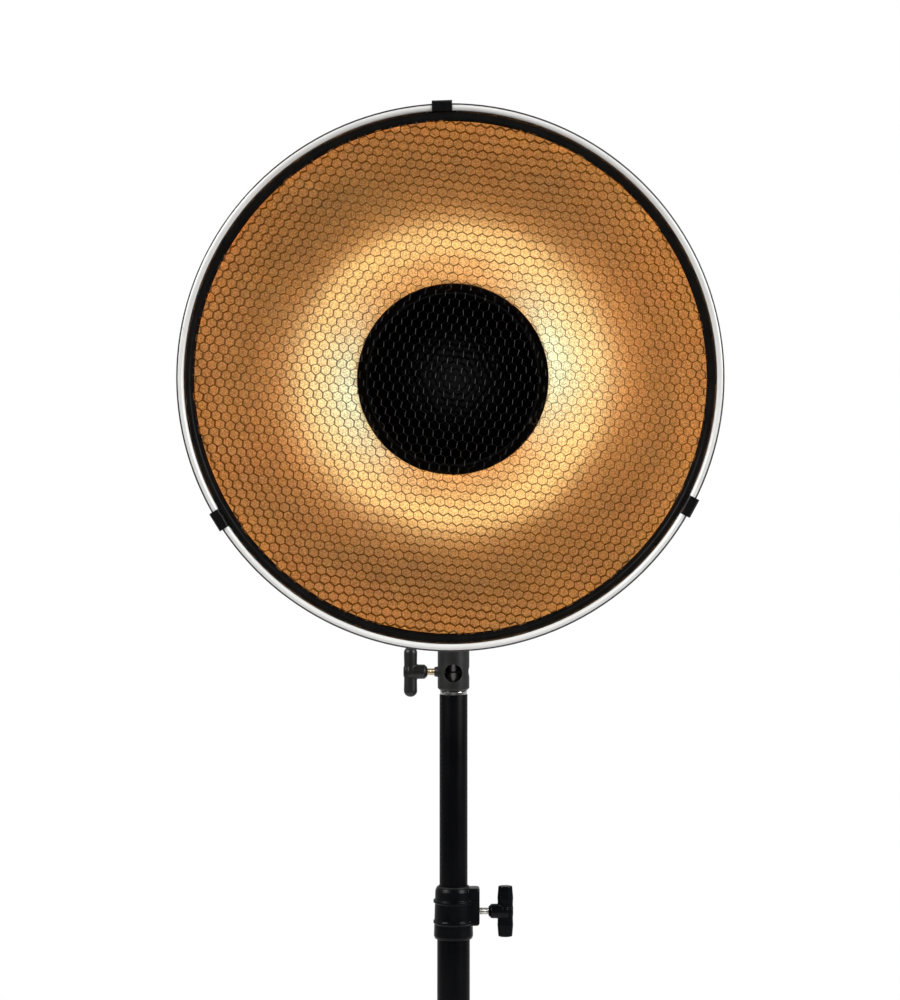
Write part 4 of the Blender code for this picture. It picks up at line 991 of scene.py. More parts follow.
def tee_handle(flat_ended):
    """The T-handle's casting round its own centre: a bar along Z with domed or flat ends, and a hub towards -X."""
    half_length = size_of("socket_tee_handle").z / 2
    wide = 6.7 * MM
    end = half_length - wide
    waisted = [(wide * 0.97, end * 0.5), (wide * 0.95, 0), (wide * 0.97, -end * 0.5)]
    if flat_ended:
        upper = rounded([(0, half_length), (wide * 0.88, half_length, 0.8 * MM), (wide, end * 0.7, 4 * MM)], MM)
        lower = [(r, -h) for r, h in upper[::-1]]
    else:
        upper = [(0, half_length)] + arc((0, end), wide, pi / 2, 0, 8)[1:]
        lower = arc((0, -end), wide, 0, -pi / 2, 8)[:-1] + [(0, -half_length)]
    profile = upper + waisted + lower
    bar = moved(spun(profile, 40), Matrix.Scale((8.5 if flat_ended else 7.2) / 6.7, 4, (1, 0, 0)))
    hub = [(0, 0), (7.9 * MM, 0), (7.7 * MM, -15 * MM), (4.9 * MM, -18 * MM), (0, -18 * MM)]
    hub = moved(spun(rounded(hub, 0.6 * MM), 40), ALONG_X)
    waist = moved(rod(8.2 * MM, 6 * MM, 40, MM, -3 * MM), ALONG_X)
    boss = moved(rod(5.6 * MM, 2.4 * MM, 32, 0.8 * MM, 6.0 * MM if flat_ended else 5.2 * MM), ALONG_X)
    dimple = moved(rod(3.6 * MM, 3 * MM, 32, 0.3 * MM, 7.6 * MM if flat_ended else 6.6 * MM), ALONG_X)
    shape = carved(bar, [], [hub, waist, boss], voxel=0.45 * MM, smoothing=6)
    return carved(shape, [dimple])


def build_handles():
    """Both T-handles and their threaded screws. The hub's hole is hidden by the screw."""
    for name, node, screw_node, body, coat, metal in (
        ("clamp", "clamp_tee_handle", "clamp_screw", "clamp_lock", "clamp", "steel"),
        ("socket", "socket_tee_handle", "socket_screw", "socket_lock", "cast", "brassy"),
    ):
        is_clamp = name == "clamp"
        low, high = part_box(node)
        middle = centre_of(node)
        outwards = 1 if middle.x > 0 else -1
        bar_centre = (high.x if outwards > 0 else low.x) - outwards * (8.6 if is_clamp else 7.5) * MM
        turn = Matrix.Rotation(0 if outwards > 0 else pi, 4, "Z")
        place = shift(bar_centre, 0, middle.z) @ turn
        finish(
            f"{name}_handle", tee_handle(is_clamp), body, coat, node, place=place,
            crease=45
        )
        low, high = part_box(screw_node)
        inner, outer = (low.x, high.x) if outwards > 0 else (-high.x, -low.x)
        shape = threaded(3.8 * MM, 1.25 * MM, inner, outer - 6 * MM)
        place = shift(0, 0, middle.z) @ turn @ ALONG_X
        finish(
            f"{name}_threaded_screw", shape, body, metal, screw_node, place=place,
            crease=60
        )


def build_collar():
    """The socket: a turned collar with a coned boss, cross-holes and a chamfered foot."""
    low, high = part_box("socket_collar")
    radius = 17 * MM
    head = size_of("socket_collar").y / 2
    screw_height = joint("socket_lock_turn")["pos_m"][2]
    bore = 8.4 * MM
    bolt_hole = 5.4 * MM
    outline = [(bolt_hole, high.z), (head, high.z, 1.2 * MM), (head, high.z - 9 * MM, 1.2 * MM)]
    outline += [(radius, high.z - 15 * MM, 2 * MM), (radius, low.z + 2.4 * MM), (radius - 2.4 * MM, low.z)]
    outline += [(bore, low.z), (bore, low.z + 70 * MM), (bolt_hole, low.z + 73 * MM)]
    body = ring_of(outline, 0.4 * MM, ROUND)
    towards_left = about("Y", -90)
    boss = [(0, 20.5 * MM), (5 * MM, 20.5 * MM), (6.4 * MM, 12.5 * MM), (0, 12.5 * MM)]
    at_screw = shift(0, 0, screw_height)
    boss = moved(spun(rounded(boss, 0.5 * MM), ROUND), at_screw @ towards_left)
    screw_bore = moved(rod(4.1 * MM, 22 * MM, SMALL, 0, 4 * MM), at_screw @ towards_left)
    cutters = [screw_bore]
    front_hole = 9.5 * MM
    side_hole = 5.5 * MM
    for direction, hole in (((0, -1, 0), front_hole), ((1, 0, 0), side_hole)):
        cutters.append(moved(rod(hole, 30 * MM, 48), facing(direction, (0, 0, screw_height))))
    shape = carved(body, cutters, [boss])
    edges = [e for e in shape.edges if e.is_manifold and e.calc_face_angle(0) > radians(35)]
    lips = [e for e in edges if all(is_on_hole(v.co, screw_height, front_hole, side_hole) for v in e.verts)]
    bmesh.ops.bevel(shape, geom=lips, offset=0.35 * MM, segments=2, affect="EDGES", clamp_overlap=True)
    finish("stand_socket", shape, "yoke_arm", "collar", "socket_collar", place=UPRIGHT)


def is_on_hole(point, height, front_radius, side_radius):
    """Whether a point lies on the front-to-back or the side cross-hole's wall, outside the bore."""
    outside = hypot(point.x, point.y) > 14 * MM
    near_front = abs(hypot(point.x, point.z - height) - front_radius) < 0.05 * MM
    near_side = abs(hypot(point.y, point.z - height) - side_radius) < 0.05 * MM and point.x > 0
    return outside and (near_front or near_side)


def build_clamp():
    """The lower clamp: a coned casting with a boss for its screw on the right."""
    low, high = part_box("column_clamp")
    guide = 16.8 * MM
    socket = 17.8 * MM
    ledge = high.z - 7.7 * MM
    outline = [(guide, high.z), (18.2 * MM, high.z, 0.8 * MM), (19.6 * MM, high.z - 4 * MM, 2 * MM)]
    outline += [(21 * MM, low.z + 3 * MM, MM), (20 * MM, low.z, 0.8 * MM), (socket, low.z)]
    outline += [(socket, ledge), (guide, ledge)]
    body = ring_of(outline, 0.4 * MM, ROUND)
    screw_height = joint("clamp_lock_turn")["pos_m"][2]
    lug_end = high.x
    lug = block((lug_end - 15 * MM, 22 * MM, 40 * MM), 3 * MM, 4)
    lug = placed(lug, (lug_end + 15 * MM) / 2, 0, high.z - 20.5 * MM)
    ribs = []
    for lift in (-11 * MM, 11 * MM):
        band = [(0, 1.6 * MM), (21.6 * MM, 1.6 * MM), (21.6 * MM, -1.6 * MM), (0, -1.6 * MM)]
        ribs.append(lifted(spun(rounded(band, 0.6 * MM), ROUND), screw_height + lift))
    inside = [(0, high.z + MM), (guide, high.z + MM), (guide, ledge), (socket, ledge), (socket, low.z - MM)]
    clear = spun(inside + [(0, low.z - MM)], ROUND)
    shape = carved(body, [], [lug] + ribs, voxel=0.5 * MM, smoothing=5)
    bore = moved(rod(4.3 * MM, 30 * MM, SMALL, 0, 10 * MM), shift(0, 0, screw_height) @ ALONG_X)
    shape = carved(shape, [clear, bore])
    finish("clamp_casting", shape, "column", "clamp", "column_clamp", place=UPRIGHT, crease=40)
    low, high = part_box("clamp_bush")
    wide = half_width("clamp_bush")
    outline = [(15.3 * MM, high.z, 0.3 * MM), (wide, high.z, 0.5 * MM), (wide, low.z), (15.3 * MM, low.z)]
    shape = ring_of(outline, 0.1 * MM, ROUND)
    finish("clamp_guide_bush", shape, "column", "plastic", "clamp_bush", place=UPRIGHT)


# Yoke and pivots


def build_yoke():
    low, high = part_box("yoke")
    inside = high.x - 5 * MM
    corner = 30 * MM
    sheet = 5 * MM
    centre_x, centre_z = high.x - corner, low.z + corner
    outside = [(-high.x, high.z)] + arc((-centre_x, centre_z), corner, pi, 1.5 * pi, 16)
    outside += arc((centre_x, centre_z), corner, 1.5 * pi, 2 * pi, 16) + [(high.x, high.z)]
    back = [(inside, high.z)] + arc((centre_x, centre_z), corner - sheet, 2 * pi, 1.5 * pi, 16)
    back += arc((-centre_x, centre_z), corner - sheet, 1.5 * pi, pi, 16) + [(-inside, high.z)]
    width = size_of("yoke").y
    forward = about("X", 90) @ shift(0, 0, -width / 2)
    bar = moved(slab(outside + back, width, 0.9 * MM, 3), forward)
    half = width / 2
    outline = [(-half - MM, low.z - MM), (half + MM, low.z - MM), (half + MM, AXIS_HEIGHT - 4 * MM)]
    outline += [(half, AXIS_HEIGHT)] + arc((0, AXIS_HEIGHT), half, 0, pi, 24)[1:-1] + [(-half, AXIS_HEIGHT)]
    outline += [(-half - MM, AXIS_HEIGHT - 4 * MM)]
    upright = about("Z", 90) @ about("X", 90)
    ends = moved(slab(outline, 240 * MM), upright @ shift(0, 0, -120 * MM))
    shape = crossed(bar, ends)
    pivot = moved(rod(5.4 * MM, 240 * MM, SMALL, 0, -120 * MM), shift(0, 0, AXIS_HEIGHT) @ ALONG_X)
    bolt = lifted(rod(5.4 * MM, 40 * MM, SMALL, 0, -20 * MM), low.z)
    shape = carved(shape, [pivot, bolt])
    finish("yoke_bar", shape, "yoke_arm", "satin", "yoke", place=UPRIGHT)

    low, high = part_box("yoke_bolt")
    washer_low, washer_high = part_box("yoke_bolt_washer")
    head = hex_nut(16.5 * MM, 6 * MM, 0)
    shank = rod(5 * MM, high.z - low.z - 6 * MM, SMALL, 0.6 * MM, low.z - high.z)
    head = lifted(head, -6 * MM)
    shape = carved(head, [], [shank])
    finish("yoke_hex_bolt", shape, "yoke_arm", "steel", "yoke_bolt", place=shift(0, 0, high.z))
    outline = [(5.3 * MM, washer_high.z), (12 * MM, washer_high.z), (12 * MM, washer_low.z), (5.3 * MM, washer_low.z)]
    shape = ring_of(outline, 0.3 * MM, 48)
    finish("yoke_washer", shape, "yoke_arm", "steel", "yoke_bolt_washer", place=UPRIGHT)


def build_pivots():
    place = shift(*TILT_AXIS)
    for side, sign in (("left", -1), ("right", 1)):
        turn = place @ Matrix.Rotation(0 if sign > 0 else pi, 4, "Z") @ ALONG_X
        low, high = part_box(f"pivot_boss_{side}")
        far = max(abs(low.x), abs(high.x))
        profile = [(5.4 * MM, far), (16.5 * MM, far, 1.2 * MM), (18 * MM, far - 8 * MM, 3 * MM)]
        profile += [(19.6 * MM, 58 * MM), (5.4 * MM, 58 * MM)]
        boss = ring_of(profile, 0.4 * MM, ROUND)
        head = spun([(0, 40 * MM), (62.3 * MM, 40 * MM), (62.3 * MM, -40 * MM), (0, -40 * MM)], 96)
        inverse = about("Y", -90)
        boss = carved(boss, [moved(head, inverse)])
        finish(f"boss_{side}", boss, "lamp_head", "satin", f"pivot_boss_{side}", place=turn)
        low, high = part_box(f"friction_washer_{side}")
        near, far = sorted((abs(low.x), abs(high.x)))
        profile = [(5.3 * MM, far), (15 * MM, far), (15 * MM, near), (5.3 * MM, near)]
        shape = ring_of(profile, 0.3 * MM, 48)
        finish(f"washer_{side}", shape, "yoke_arm", "rubber", f"friction_washer_{side}", place=turn)
    low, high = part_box("pivot_bolt")
    outer, inner = -low.x, -high.x
    face = outer - 6 * MM
    bolt = [(0, outer), (8.8 * MM, outer, MM), (8.8 * MM, face), (5 * MM, face), (5 * MM, inner), (0, inner)]
    socket = slab([polar(4.2 * MM, radians(60 * i))[:2] for i in range(6)], 5 * MM)
    shape = carved(spun(rounded(bolt, 0.3 * MM), 48), [lifted(socket, outer - 3.4 * MM)])
    turn = place @ Matrix.Rotation(pi, 4, "Z") @ ALONG_X
    finish("pivot_socket_bolt", shape, "yoke_arm", "steel", "pivot_bolt", place=turn)
    build_tilt_knob(place)


def build_tilt_knob(place):
    """A six-lobed knob on the tilt stud, with a shallow dish in its face."""
    low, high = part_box("tilt_knob")
    steps = 120
    lobes = 6
    angles = [2 * pi * i / steps for i in range(steps)]
    outline = [polar(20.4 * MM + 2.4 * MM * cos(lobes * a), a)[:2] for a in angles]
    thickness = 13 * MM
    knob = lifted(slab(outline, thickness, 2.2 * MM, 4), high.x - thickness)
    neck = [(0, high.x - 6 * MM), (11 * MM, high.x - 6 * MM), (11 * MM, low.x), (0, low.x)]
    hollow = lifted(rod(11 * MM, 6 * MM, 48, 1.2 * MM), high.x - 1.6 * MM)
    bore = lifted(rod(5.3 * MM, 15 * MM, SMALL), low.x - MM)
    shape = carved(knob, [hollow, bore], [spun(rounded(neck, 0.5 * MM), 48)])
    turn = place @ ALONG_X
    finish("star_knob", shape, "tilt_lock", "plastic", "tilt_knob", place=turn)
    low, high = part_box("tilt_stud")
    shape = threaded(5 * MM, 1.5 * MM, low.x, high.x)
    finish("tilt_threaded_stud", shape, "tilt_lock", "steel", "tilt_stud", place=turn, crease=60)


# Lamp head and bayonet


def build_housing():
    """A coated tube with a rolled front, two shallow grooves, a hole in each side and rows of cooling slots above and
    below.
    """
    low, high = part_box("head_housing")
    front, back = forwards(low.y), forwards(high.y)
    radius = half_width("head_housing")
    bore = radius - 2.5 * MM
    groove = 0.9 * MM
    outline = [(bore, front), (radius, front, 0.9 * MM)]
    for height in (front - 12 * MM, back + 14 * MM):
        outline += [(radius, height + 1.4 * MM), (radius - groove, height + 0.8 * MM)]
        outline += [(radius - groove, height - 0.8 * MM), (radius, height - 1.4 * MM)]
    outline += [(radius, back, 0.6 * MM), (bore, back)]
    body = ring_of(outline, 0.25 * MM, 96)
    cutters = []
    for i in range(5):
        for sign in (-1, 1):
            slot = block((54 * MM, 20 * MM, 4 * MM), 1.9 * MM, 4)
            cutters.append(placed(slot, 0, sign * radius, 40 * MM + i * 15 * MM))
    for sign in (-1, 1):
        side = Matrix.Rotation(sign * radians(90), 4, "Y") @ shift(0, 0, 50 * MM)
        cutters.append(moved(rod(7 * MM, 30 * MM, SMALL), side))
    shape = carved(body, cutters)
    finish("lamp_housing", shape, "lamp_head", "housing", "head_housing")


def build_bayonet():
    """The head's ring with its three claws and a knurled rim, and the reflector's flange with its three lugs."""
    low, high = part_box("bayonet_ring")
    front, back = forwards(low.y), forwards(high.y)
    radius = half_width("bayonet_ring")
    wall = radius - 5.5 * MM
    floor = back + 3 * MM
    outline = [(wall, front), (radius, front, 0.9 * MM), (radius, back, 0.9 * MM), (52 * MM, back), (52 * MM, floor)]
    outline += [(wall, floor)]
    body = ring_of(outline, 0.3 * MM, 128)
    claws = []
    thirds = [radians(30 + 120 * i) for i in range(3)]
    for middle in thirds:
        half = radians(15)
        outline = arc((0, 0), 72 * MM, middle - half, middle + half, 14)
        outline += arc((0, 0), 62.5 * MM, middle + half, middle - half, 14)
        claws.append(lifted(slab(outline, 3 * MM, 0.4 * MM), front - 3 * MM))
    notches = []
    for i in range(48):
        angle = 2 * pi * i / 48
        place = shift(*polar(radius + 0.6 * MM, angle, back + 2.4 * MM))
        notches.append(moved(rod(1.3 * MM, front - back - 4.8 * MM, 10), place))
    shape = carved(body, notches, claws)
    finish("bayonet_cup", shape, "lamp_head", "satin", "bayonet_ring")

    low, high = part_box("mount_flange")
    front, back = forwards(low.y), forwards(high.y)
    under = front - 2.5 * MM
    outline = [(52 * MM, front), (69 * MM, front), (69 * MM, under), (61 * MM, under), (61 * MM, back), (52 * MM, back)]
    body = ring_of(outline, 0.4 * MM, 128)
    lugs = []
    for middle in thirds:
        half = radians(13)
        outline = arc((0, 0), 69 * MM, middle - half, middle + half, 12)
        outline += arc((0, 0), 58 * MM, middle + half, middle - half, 12)
        lugs.append(lifted(slab(outline, 3.5 * MM, 0.4 * MM), back))
    holes = []
    for i in range(3):
        hole = rod(1.9 * MM, 12 * MM, 24)
        holes.append(moved(hole, shift(*polar(65 * MM, radians(90 + 120 * i), under - 4 * MM))))
    shape = carved(body, holes, lugs)
    finish("reflector_flange", shape, "reflector", "steel", "mount_flange")
    for i in range(3):
        low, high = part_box(f"mount_screw_{i + 1}")
        screw = cap_screw(3.2 * MM, 1.6 * MM, 1.8 * MM, size_of(f"mount_screw_{i + 1}").y)
        place = polar(65 * MM, radians(90 + 120 * i), forwards(low.y))
        finish(
            f"flange_screw_{i + 1}", screw, "reflector", "steel", f"mount_screw_{i + 1}",
            place=OPTICAL @ shift(*place)
        )


def cap_screw(head, shaft, height, length):
    """A domed cross-head screw with the top of its head at the origin."""
    profile = [(0, 0), (head * 0.5, -0.08 * height), (head * 0.9, -0.45 * height), (head, -height)]
    profile += [(shaft, -height), (shaft, -length), (0, -length)]
    shape = spun(rounded(profile, 0.15 * MM), SMALL)
    cross = [lifted(block(size, 0.1 * MM, 1), 0) for size in cross_sizes(head)]
    return carved(shape, cross)


def cross_sizes(head):
    long, wide, deep = head * 1.1, head * 0.26, head * 0.5
    return (long, wide, deep), (wide, long, deep)


def build_rear():
    low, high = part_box("rear_cover")
    front, back = forwards(low.y), forwards(high.y)
    radius = half_width("rear_cover")
    seat = front - 8 * MM
    tongue = radius - 2.8 * MM
    outline = [(0, back + 2.5 * MM), (55 * MM, back + 2.5 * MM), (55 * MM, front), (tongue, front), (tongue, seat)]
    outline += [(radius, seat), (radius, seat - 4 * MM, 3 * MM), (56 * MM, back, 2.5 * MM), (0, back)]
    body = spun(rounded(outline, 0.4 * MM), 96)
    # The cover's inside is level with the top of its tongue, and its back panel is thick enough for the inlet
    dial_place = centre_of("power_dial") - TILT_AXIS
    switch_place = Vector(joint("rocker_tip")["pos_m"]) - TILT_AXIS
    inlet_place = centre_of("power_inlet") - TILT_AXIS
    cutters = [
        placed(rod(3.5 * MM, 30 * MM, SMALL), dial_place.x, dial_place.z, back - 5 * MM),
        placed(block((22 * MM, 14 * MM, 30 * MM), 1.2 * MM), switch_place.x, switch_place.z, back),
        placed(block((30 * MM, 22 * MM, 30 * MM), 1.2 * MM), inlet_place.x, inlet_place.z, back),
    ]
    for i in range(3):
        place = polar(47 * MM, radians(90 + 120 * i), back - 1 * MM)
        cutters.append(moved(rod(3.6 * MM, 1.9 * MM, SMALL), shift(*place)))
    shape = carved(body, cutters)
    finish("rear_panel", shape, "lamp_head", "plastic", "rear_cover")
    backwards = about("X", 180)
    for i in range(3):
        place = shift(*polar(47 * MM, radians(90 + 120 * i), back + 0.1 * MM))
        screw = cap_screw(3.1 * MM, 1.5 * MM, 0.7 * MM, 0.8 * MM)
        finish(f"rear_screw_{i + 1}", screw, "lamp_head", "steel", place=OPTICAL @ place @ backwards)
    build_dial_marks(dial_place, back)
    build_dial(dial_place)
    build_rocker(switch_place)
    build_inlet(inlet_place)


def build_dial_marks(place, back):
    """A scale of raised ticks round the dial, longer every fifth."""
    whole = bmesh.new()
    ticks = 21
    for i in range(ticks):
        angle = radians(-50 + 280 * i / (ticks - 1))
        long = 3.2 * MM if i % 5 == 0 else 1.8 * MM
        tick = block((long, 0.5 * MM, 0.3 * MM), 0.08 * MM, 1)
        turn = Matrix.Rotation(angle, 4, "Z") @ shift(17 * MM + long / 2, 0, 0)
        moved(tick, shift(place.x, place.z, back - 0.1 * MM) @ turn)
        mesh = bpy.data.meshes.new("tick")
        tick.to_mesh(mesh)
        tick.free()
        whole.from_mesh(mesh)
        bpy.data.meshes.remove(mesh)
    finish("dial_scale", whole, "lamp_head", "mark")


def build_dial(place):
    """A fluted knob with a raised white pointer."""
    low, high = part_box("power_dial")
    outer, inner = forwards(high.y), forwards(low.y)
    radius = half_width("power_dial")
    steps = 144
    flutes = 24
    outline = []
    for k in range(steps):
        angle = 2 * pi * k / steps
        wave = 0.5 + 0.5 * cos(flutes * angle)
        outline.append(polar(radius - 0.9 * MM * wave**2, angle)[:2])
    depth = 10.4 * MM
    knob = lifted(slab(outline, depth, MM, 3), outer)
    shaft = rod(3 * MM, inner - outer - 4 * MM, SMALL, 0.3 * MM, outer + 4 * MM)
    hollow = rod(10.6 * MM, 2 * MM, 64, 0.5 * MM, outer - 1.4 * MM)
    shape = carved(knob, [hollow], [shaft])
    matrix = OPTICAL @ shift(place.x, place.z, 0)
    finish("dial_knob", shape, "dial", "plastic", "power_dial", place=matrix)
    pointer = placed(block((1.3 * MM, 7.5 * MM, 0.5 * MM), 0.2 * MM), 0, 6 * MM, outer + 0.5 * MM)
    finish("dial_pointer", pointer, "dial", "mark", place=matrix)


def build_rocker(place):
    """The rocker, tipped to rest on one end, with a bar and a ring moulded in its ends."""
    side = [(-8.7 * MM, -13.4 * MM), (0, -11 * MM), (8.7 * MM, -13.4 * MM), (7.5 * MM, -4 * MM), (-7.5 * MM, -4 * MM)]
    shape = slab(rounded(side, 0.8 * MM, closed=True), 13 * MM, 0.5 * MM)
    stand = about("X", 90) @ shift(0, 0, -6.5 * MM)
    tip = about("Y", 9)
    pivot = OPTICAL @ shift(place.x, place.z, forwards(place.y))
    shape = moved(shape, stand)
    bar = placed(block((0.8 * MM, 4.5 * MM, MM), 0.15 * MM, 1), 5.3 * MM, 0, -12.5 * MM)
    ring = spun([(2.3 * MM, MM), (2.3 * MM, -MM), (1.6 * MM, -MM), (1.6 * MM, MM)], SMALL, ring=True)
    ring = placed(ring, -5.3 * MM, 0, -12.5 * MM)
    shape = carved(shape, [bar, ring])
    finish("power_rocker", shape, "rocker", "rocker", "lamp_rocker", place=pivot @ tip)


def build_inlet(place):
    """The inlet's shroud with three blades in its recess."""
    low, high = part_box("power_inlet")
    back, front = forwards(high.y), forwards(low.y)
    body = block((29.4 * MM, 21.4 * MM, front - back), 0.9 * MM)
    recess = block((22 * MM, 14 * MM, 12 * MM), 2.2 * MM, 4)
    recess = lifted(recess, -(front - back) / 2 + 0.0 * MM)
    shape = carved(body, [recess])
    matrix = OPTICAL @ shift(place.x, place.z, (front + back) / 2)
    finish("inlet_shroud", shape, "lamp_head", "plastic", "power_inlet", place=matrix)
    for i, (x, y) in enumerate(((-5.5 * MM, -1.5 * MM), (5.5 * MM, -1.5 * MM), (0, 2.4 * MM))):
        blade = block((1.6 * MM, 4.4 * MM, 6 * MM), 0.3 * MM, 2)
        finish(f"inlet_blade_{i + 1}", placed(blade, x, y, -2.6 * MM), "lamp_head", "steel", place=matrix)


def build_rear_handle():
    """A bent grab handle with a rubber sleeve and two flanged feet."""
    low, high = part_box("rear_handle")
    radius = (high.z - low.z) / 2
    lift = (high.z + low.z) / 2 - AXIS_HEIGHT
    half = high.x - radius
    foot = forwards(low.y)
    far = forwards(high.y) + radius
    corner = 15 * MM
    bend = arc((half - corner, far + corner), corner, 0, -pi / 2, 10)
    side = [(half, foot)] + bend
    path = [(x, lift, z) for x, z in side] + [(-x, lift, z) for x, z in side[::-1]]
    shape = swept(path, radius * 0.86, 28)
    feet = []
    for x in (half, -half):
        flange = rod(radius * 1.0, 3 * MM, 40, 0.8 * MM, foot - 3 * MM)
        feet.append(placed(flange, x, lift, 0))
    shape = carved(shape, [], feet)
    finish("grab_handle", shape, "lamp_head", "satin", "rear_handle")
    reach = half - corner - 2 * MM
    sleeve = spun(grip_profile(radius, reach), 48, ring=True)
    across = shift(0, lift, far) @ ALONG_X
    finish("handle_sleeve", sleeve, "lamp_head", "rubber", place=OPTICAL @ across)


def grip_profile(radius, reach):
    """A ribbed rubber sleeve's section, closed, between -reach and reach."""
    inner = radius * 0.87
    ribs = 14
    outline = [(inner, reach)]
    for i in range(ribs * 6 + 1):
        height = reach - 2 * reach * i / (ribs * 6)
        wave = 0.5 - 0.5 * cos(2 * pi * ribs * (reach - height) / (2 * reach))
        outline.append((radius * (0.93 + 0.065 * wave), height))
    return outline + [(inner, -reach)]


def build_lamp():
    low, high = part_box("modelling_lamp")
    tip, tail = forwards(low.y), forwards(high.y)
    bulb = [(0, tip), (7 * MM, tip - 2 * MM), (12 * MM, tip - 8 * MM), (14 * MM, tip - 16 * MM)]
    bulb += [(14 * MM, tip - 44 * MM), (11.5 * MM, tip - 56 * MM), (8.4 * MM, tip - 62 * MM), (8.4 * MM, tail), (0, tail)]
    shape = spun(rounded(bulb, 4 * MM, steps=5), 48)
    finish("lamp_bulb", shape, "lamp_head", "bulb", "modelling_lamp")

    low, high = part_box("flash_tube")
    radius = 32 * MM
    level = forwards(low.y) - 4 * MM
    foot = forwards(high.y)
    start = radians(-90 + 13)
    sweep = radians(360 - 26)
    loop = [polar(radius, start + sweep * i / 60, level) for i in range(61)]
    ends = [(x, y, foot) for x, y, _ in (loop[0], loop[-1])]
    shape = swept(ends[:1] + loop + ends[1:], 3.9 * MM, 20)
    finish("ring_flash_tube", shape, "lamp_head", "flash_tube", "flash_tube")

    low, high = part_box("lamp_socket")
    mouth, floor = forwards(low.y), forwards(high.y)
    wide = half_width("lamp_socket")
    outline = [(0, floor + 4 * MM), (9 * MM, floor + 4 * MM), (9 * MM, mouth, 0.8 * MM), (wide, mouth, 1.5 * MM)]
    outline += [(wide, mouth - 12 * MM, MM), (wide - 1.2 * MM, mouth - 14 * MM, MM), (wide - 1.2 * MM, floor), (0, floor)]
    shape = spun(rounded(outline, 0.5 * MM), 48)
    finish("ceramic_socket", shape, "lamp_head", "ceramic", "lamp_socket")


def dress_hidden_nodes():
    """Pieces deep in the head keep their CAD shape and get a finish."""
    wanted = {
        "lamp_plate": "ceramic", "circuit_board": "board", "capacitor": "capacitor",
        "fan_frame": "plastic", "fan_rotor": "plastic", "riser_foot_bush": "plastic",
    }
    for node, look in wanted.items():
        for each in frame["nodes"][node].material_slots:
            each.material = LOOKS[look]


# Stage: floor, light and camera


def build_floor():
    """A pale disc that fades to the white of the surroundings."""
    radius = 0.95
    shape = spun([(radius, 0), (radius * 0.5, 0), (0.002, 0)], 96)
    mesh = bpy.data.meshes.new("floor")
    shape.to_mesh(mesh)
    shape.free()
    floor = bpy.data.objects.new("floor", mesh)
    bpy.context.scene.collection.objects.link(floor)
    floor.location.z = -0.3 * MM
    look = bpy.data.materials.new("pale_floor")
    look.use_nodes = True
    tree = look.node_tree
    paint = tree.nodes["Principled BSDF"]
    paint.inputs["Base Color"].default_value = (0.86, 0.86, 0.855, 1)
    paint.inputs["Roughness"].default_value = 0.7
    white = tree.nodes.new("ShaderNodeEmission")
    white.inputs["Color"].default_value = (1, 1, 1, 1)
    white.inputs["Strength"].default_value = 1.0
    place = tree.nodes.new("ShaderNodeTexCoord")
    length = tree.nodes.new("ShaderNodeVectorMath")
    length.operation = "LENGTH"
    tree.links.new(place.outputs["Object"], length.inputs[0])
    fade = tree.nodes.new("ShaderNodeMapRange")
    fade.interpolation_type = "SMOOTHSTEP"
    fade.inputs["From Min"].default_value = 0.25
    fade.inputs["From Max"].default_value = radius * 0.98
    tree.links.new(length.outputs["Value"], fade.inputs["Value"])
    mix = tree.nodes.new("ShaderNodeMixShader")
    tree.links.new(fade.outputs["Result"], mix.inputs["Fac"])
    tree.links.new(paint.outputs["BSDF"], mix.inputs[1])
    tree.links.new(white.outputs["Emission"], mix.inputs[2])
    tree.links.new(mix.outputs["Shader"], tree.nodes["Material Output"].inputs["Surface"])
    mesh.materials.append(look)


# the studio's light by direction: its share towards the front, from -1 behind to 1, and the strength there
STUDIO_LIGHT = ((-1, 0.6), (-0.3, 0.35), (0, 0.22), (0.3, 0.15), (0.6, 0.08), (0.9, 0.06), (1, 0.16))
OVERHEAD_GAIN = 0.3


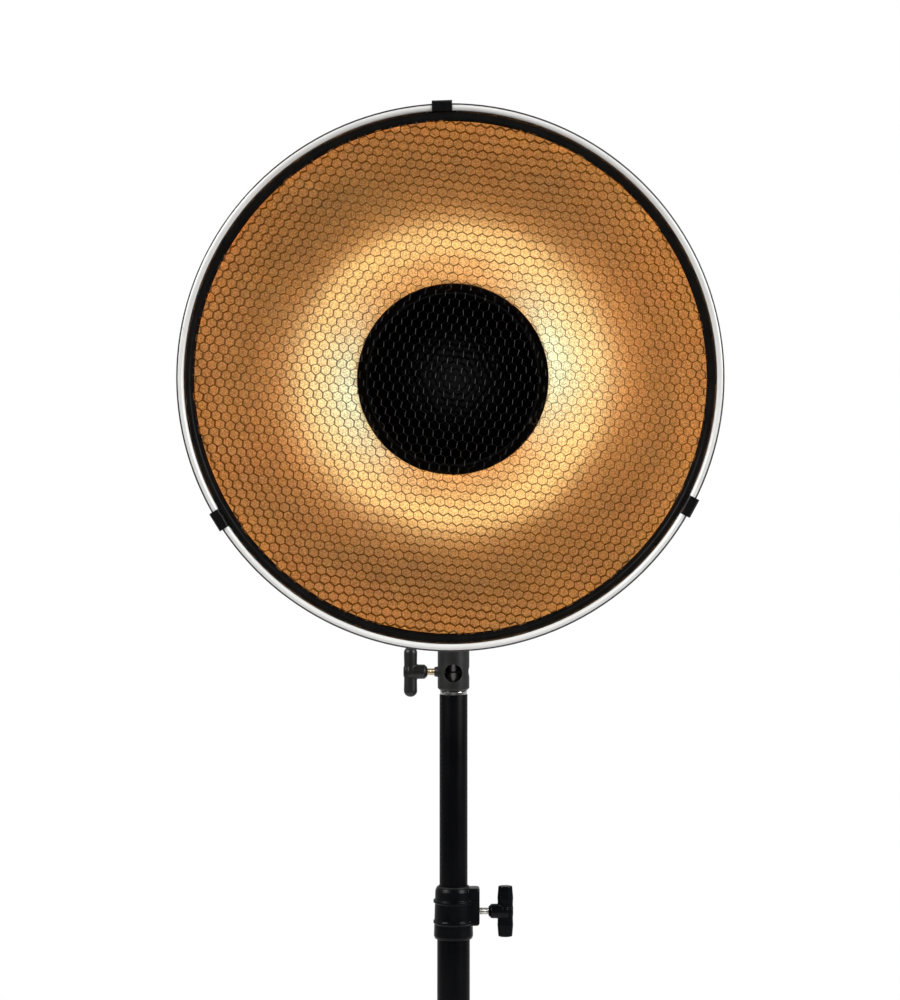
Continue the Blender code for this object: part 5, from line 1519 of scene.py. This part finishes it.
def build_world():
    """White all round to the camera. As light, it is brightest diagonally in front of the dish and from above."""
    world = bpy.data.worlds.new("studio")
    bpy.context.scene.world = world
    world.use_nodes = True
    tree = world.node_tree
    light = tree.nodes["Background"]
    place = tree.nodes.new("ShaderNodeTexCoord")
    part = tree.nodes.new("ShaderNodeSeparateXYZ")
    tree.links.new(place.outputs["Generated"], part.inputs["Vector"])
    spread = tree.nodes.new("ShaderNodeMapRange")
    spread.inputs["From Min"].default_value = 1
    spread.inputs["From Max"].default_value = -1
    tree.links.new(part.outputs["Y"], spread.inputs["Value"])
    ramp = tree.nodes.new("ShaderNodeValToRGB")
    stops = ramp.color_ramp.elements
    for towards, _ in STUDIO_LIGHT[1:-1]:
        stops.new((towards + 1) / 2)
    for stop, (_, strength) in zip(stops, STUDIO_LIGHT):
        stop.color = (strength, strength, strength, 1)
    tree.links.new(spread.outputs["Result"], ramp.inputs["Fac"])
    tree.links.new(ramp.outputs["Color"], light.inputs["Color"])
    gain = tree.nodes.new("ShaderNodeMath")
    gain.operation = "MULTIPLY_ADD"
    gain.inputs[1].default_value = OVERHEAD_GAIN
    gain.inputs[2].default_value = 1
    tree.links.new(part.outputs["Z"], gain.inputs[0])
    tree.links.new(gain.outputs["Value"], light.inputs["Strength"])
    seen = tree.nodes.new("ShaderNodeBackground")
    seen.inputs["Color"].default_value = (1, 1, 1, 1)
    ray = tree.nodes.new("ShaderNodeLightPath")
    mix = tree.nodes.new("ShaderNodeMixShader")
    tree.links.new(ray.outputs["Is Camera Ray"], mix.inputs["Fac"])
    tree.links.new(light.outputs["Background"], mix.inputs[1])
    tree.links.new(seen.outputs["Background"], mix.inputs[2])
    tree.links.new(mix.outputs["Shader"], tree.nodes["World Output"].inputs["Surface"])


def add_softbox(name, place, size, power):
    data = bpy.data.lights.new(name, "AREA")
    data.shape = "RECTANGLE"
    data.size, data.size_y = size
    data.energy = power
    light = bpy.data.objects.new(name, data)
    light.location = place
    aim = Vector((0, 0, AXIS_HEIGHT - 0.15)) - light.location
    light.rotation_euler = aim.to_track_quat("-Z", "Y").to_euler()
    bpy.context.scene.collection.objects.link(light)


def build_camera():
    """Level with the optical axis and slightly to its right, with the lens shifted so that the stand shows below."""
    data = bpy.data.cameras.new("camera")
    camera = bpy.data.objects.new("camera", data)
    data.lens = 101.25
    data.sensor_width = 36.0
    data.shift_y = -0.1226
    rim = Vector((0, -RIM_FRONT, AXIS_HEIGHT))
    distance = 2.71
    aside = 0.034
    camera.location = rim + Vector((aside, -distance, 0))
    camera.rotation_euler = (rim - camera.location).to_track_quat("-Z", "Y").to_euler()
    bpy.context.scene.collection.objects.link(camera)
    bpy.context.scene.camera = camera


def build_object():
    build_dish()
    build_rim()
    front = build_deflector()
    build_posts(front)
    build_grid_ring()
    build_honeycomb()
    build_clips()
    build_tubes()
    build_spigot()
    build_handles()
    build_collar()
    build_clamp()
    build_yoke()
    build_pivots()
    build_housing()
    build_bayonet()
    build_rear()
    build_rear_handle()
    build_lamp()
    dress_hidden_nodes()


build_object()
build_floor()
build_world()
add_softbox("key_left", (-2.4, -1.6, 2.3), (1.4, 1.4), 105)
add_softbox("key_right", (2.4, -1.4, 1.7), (1.2, 1.6), 84)
build_camera()
bpy.context.scene.view_settings.view_transform = "Standard"
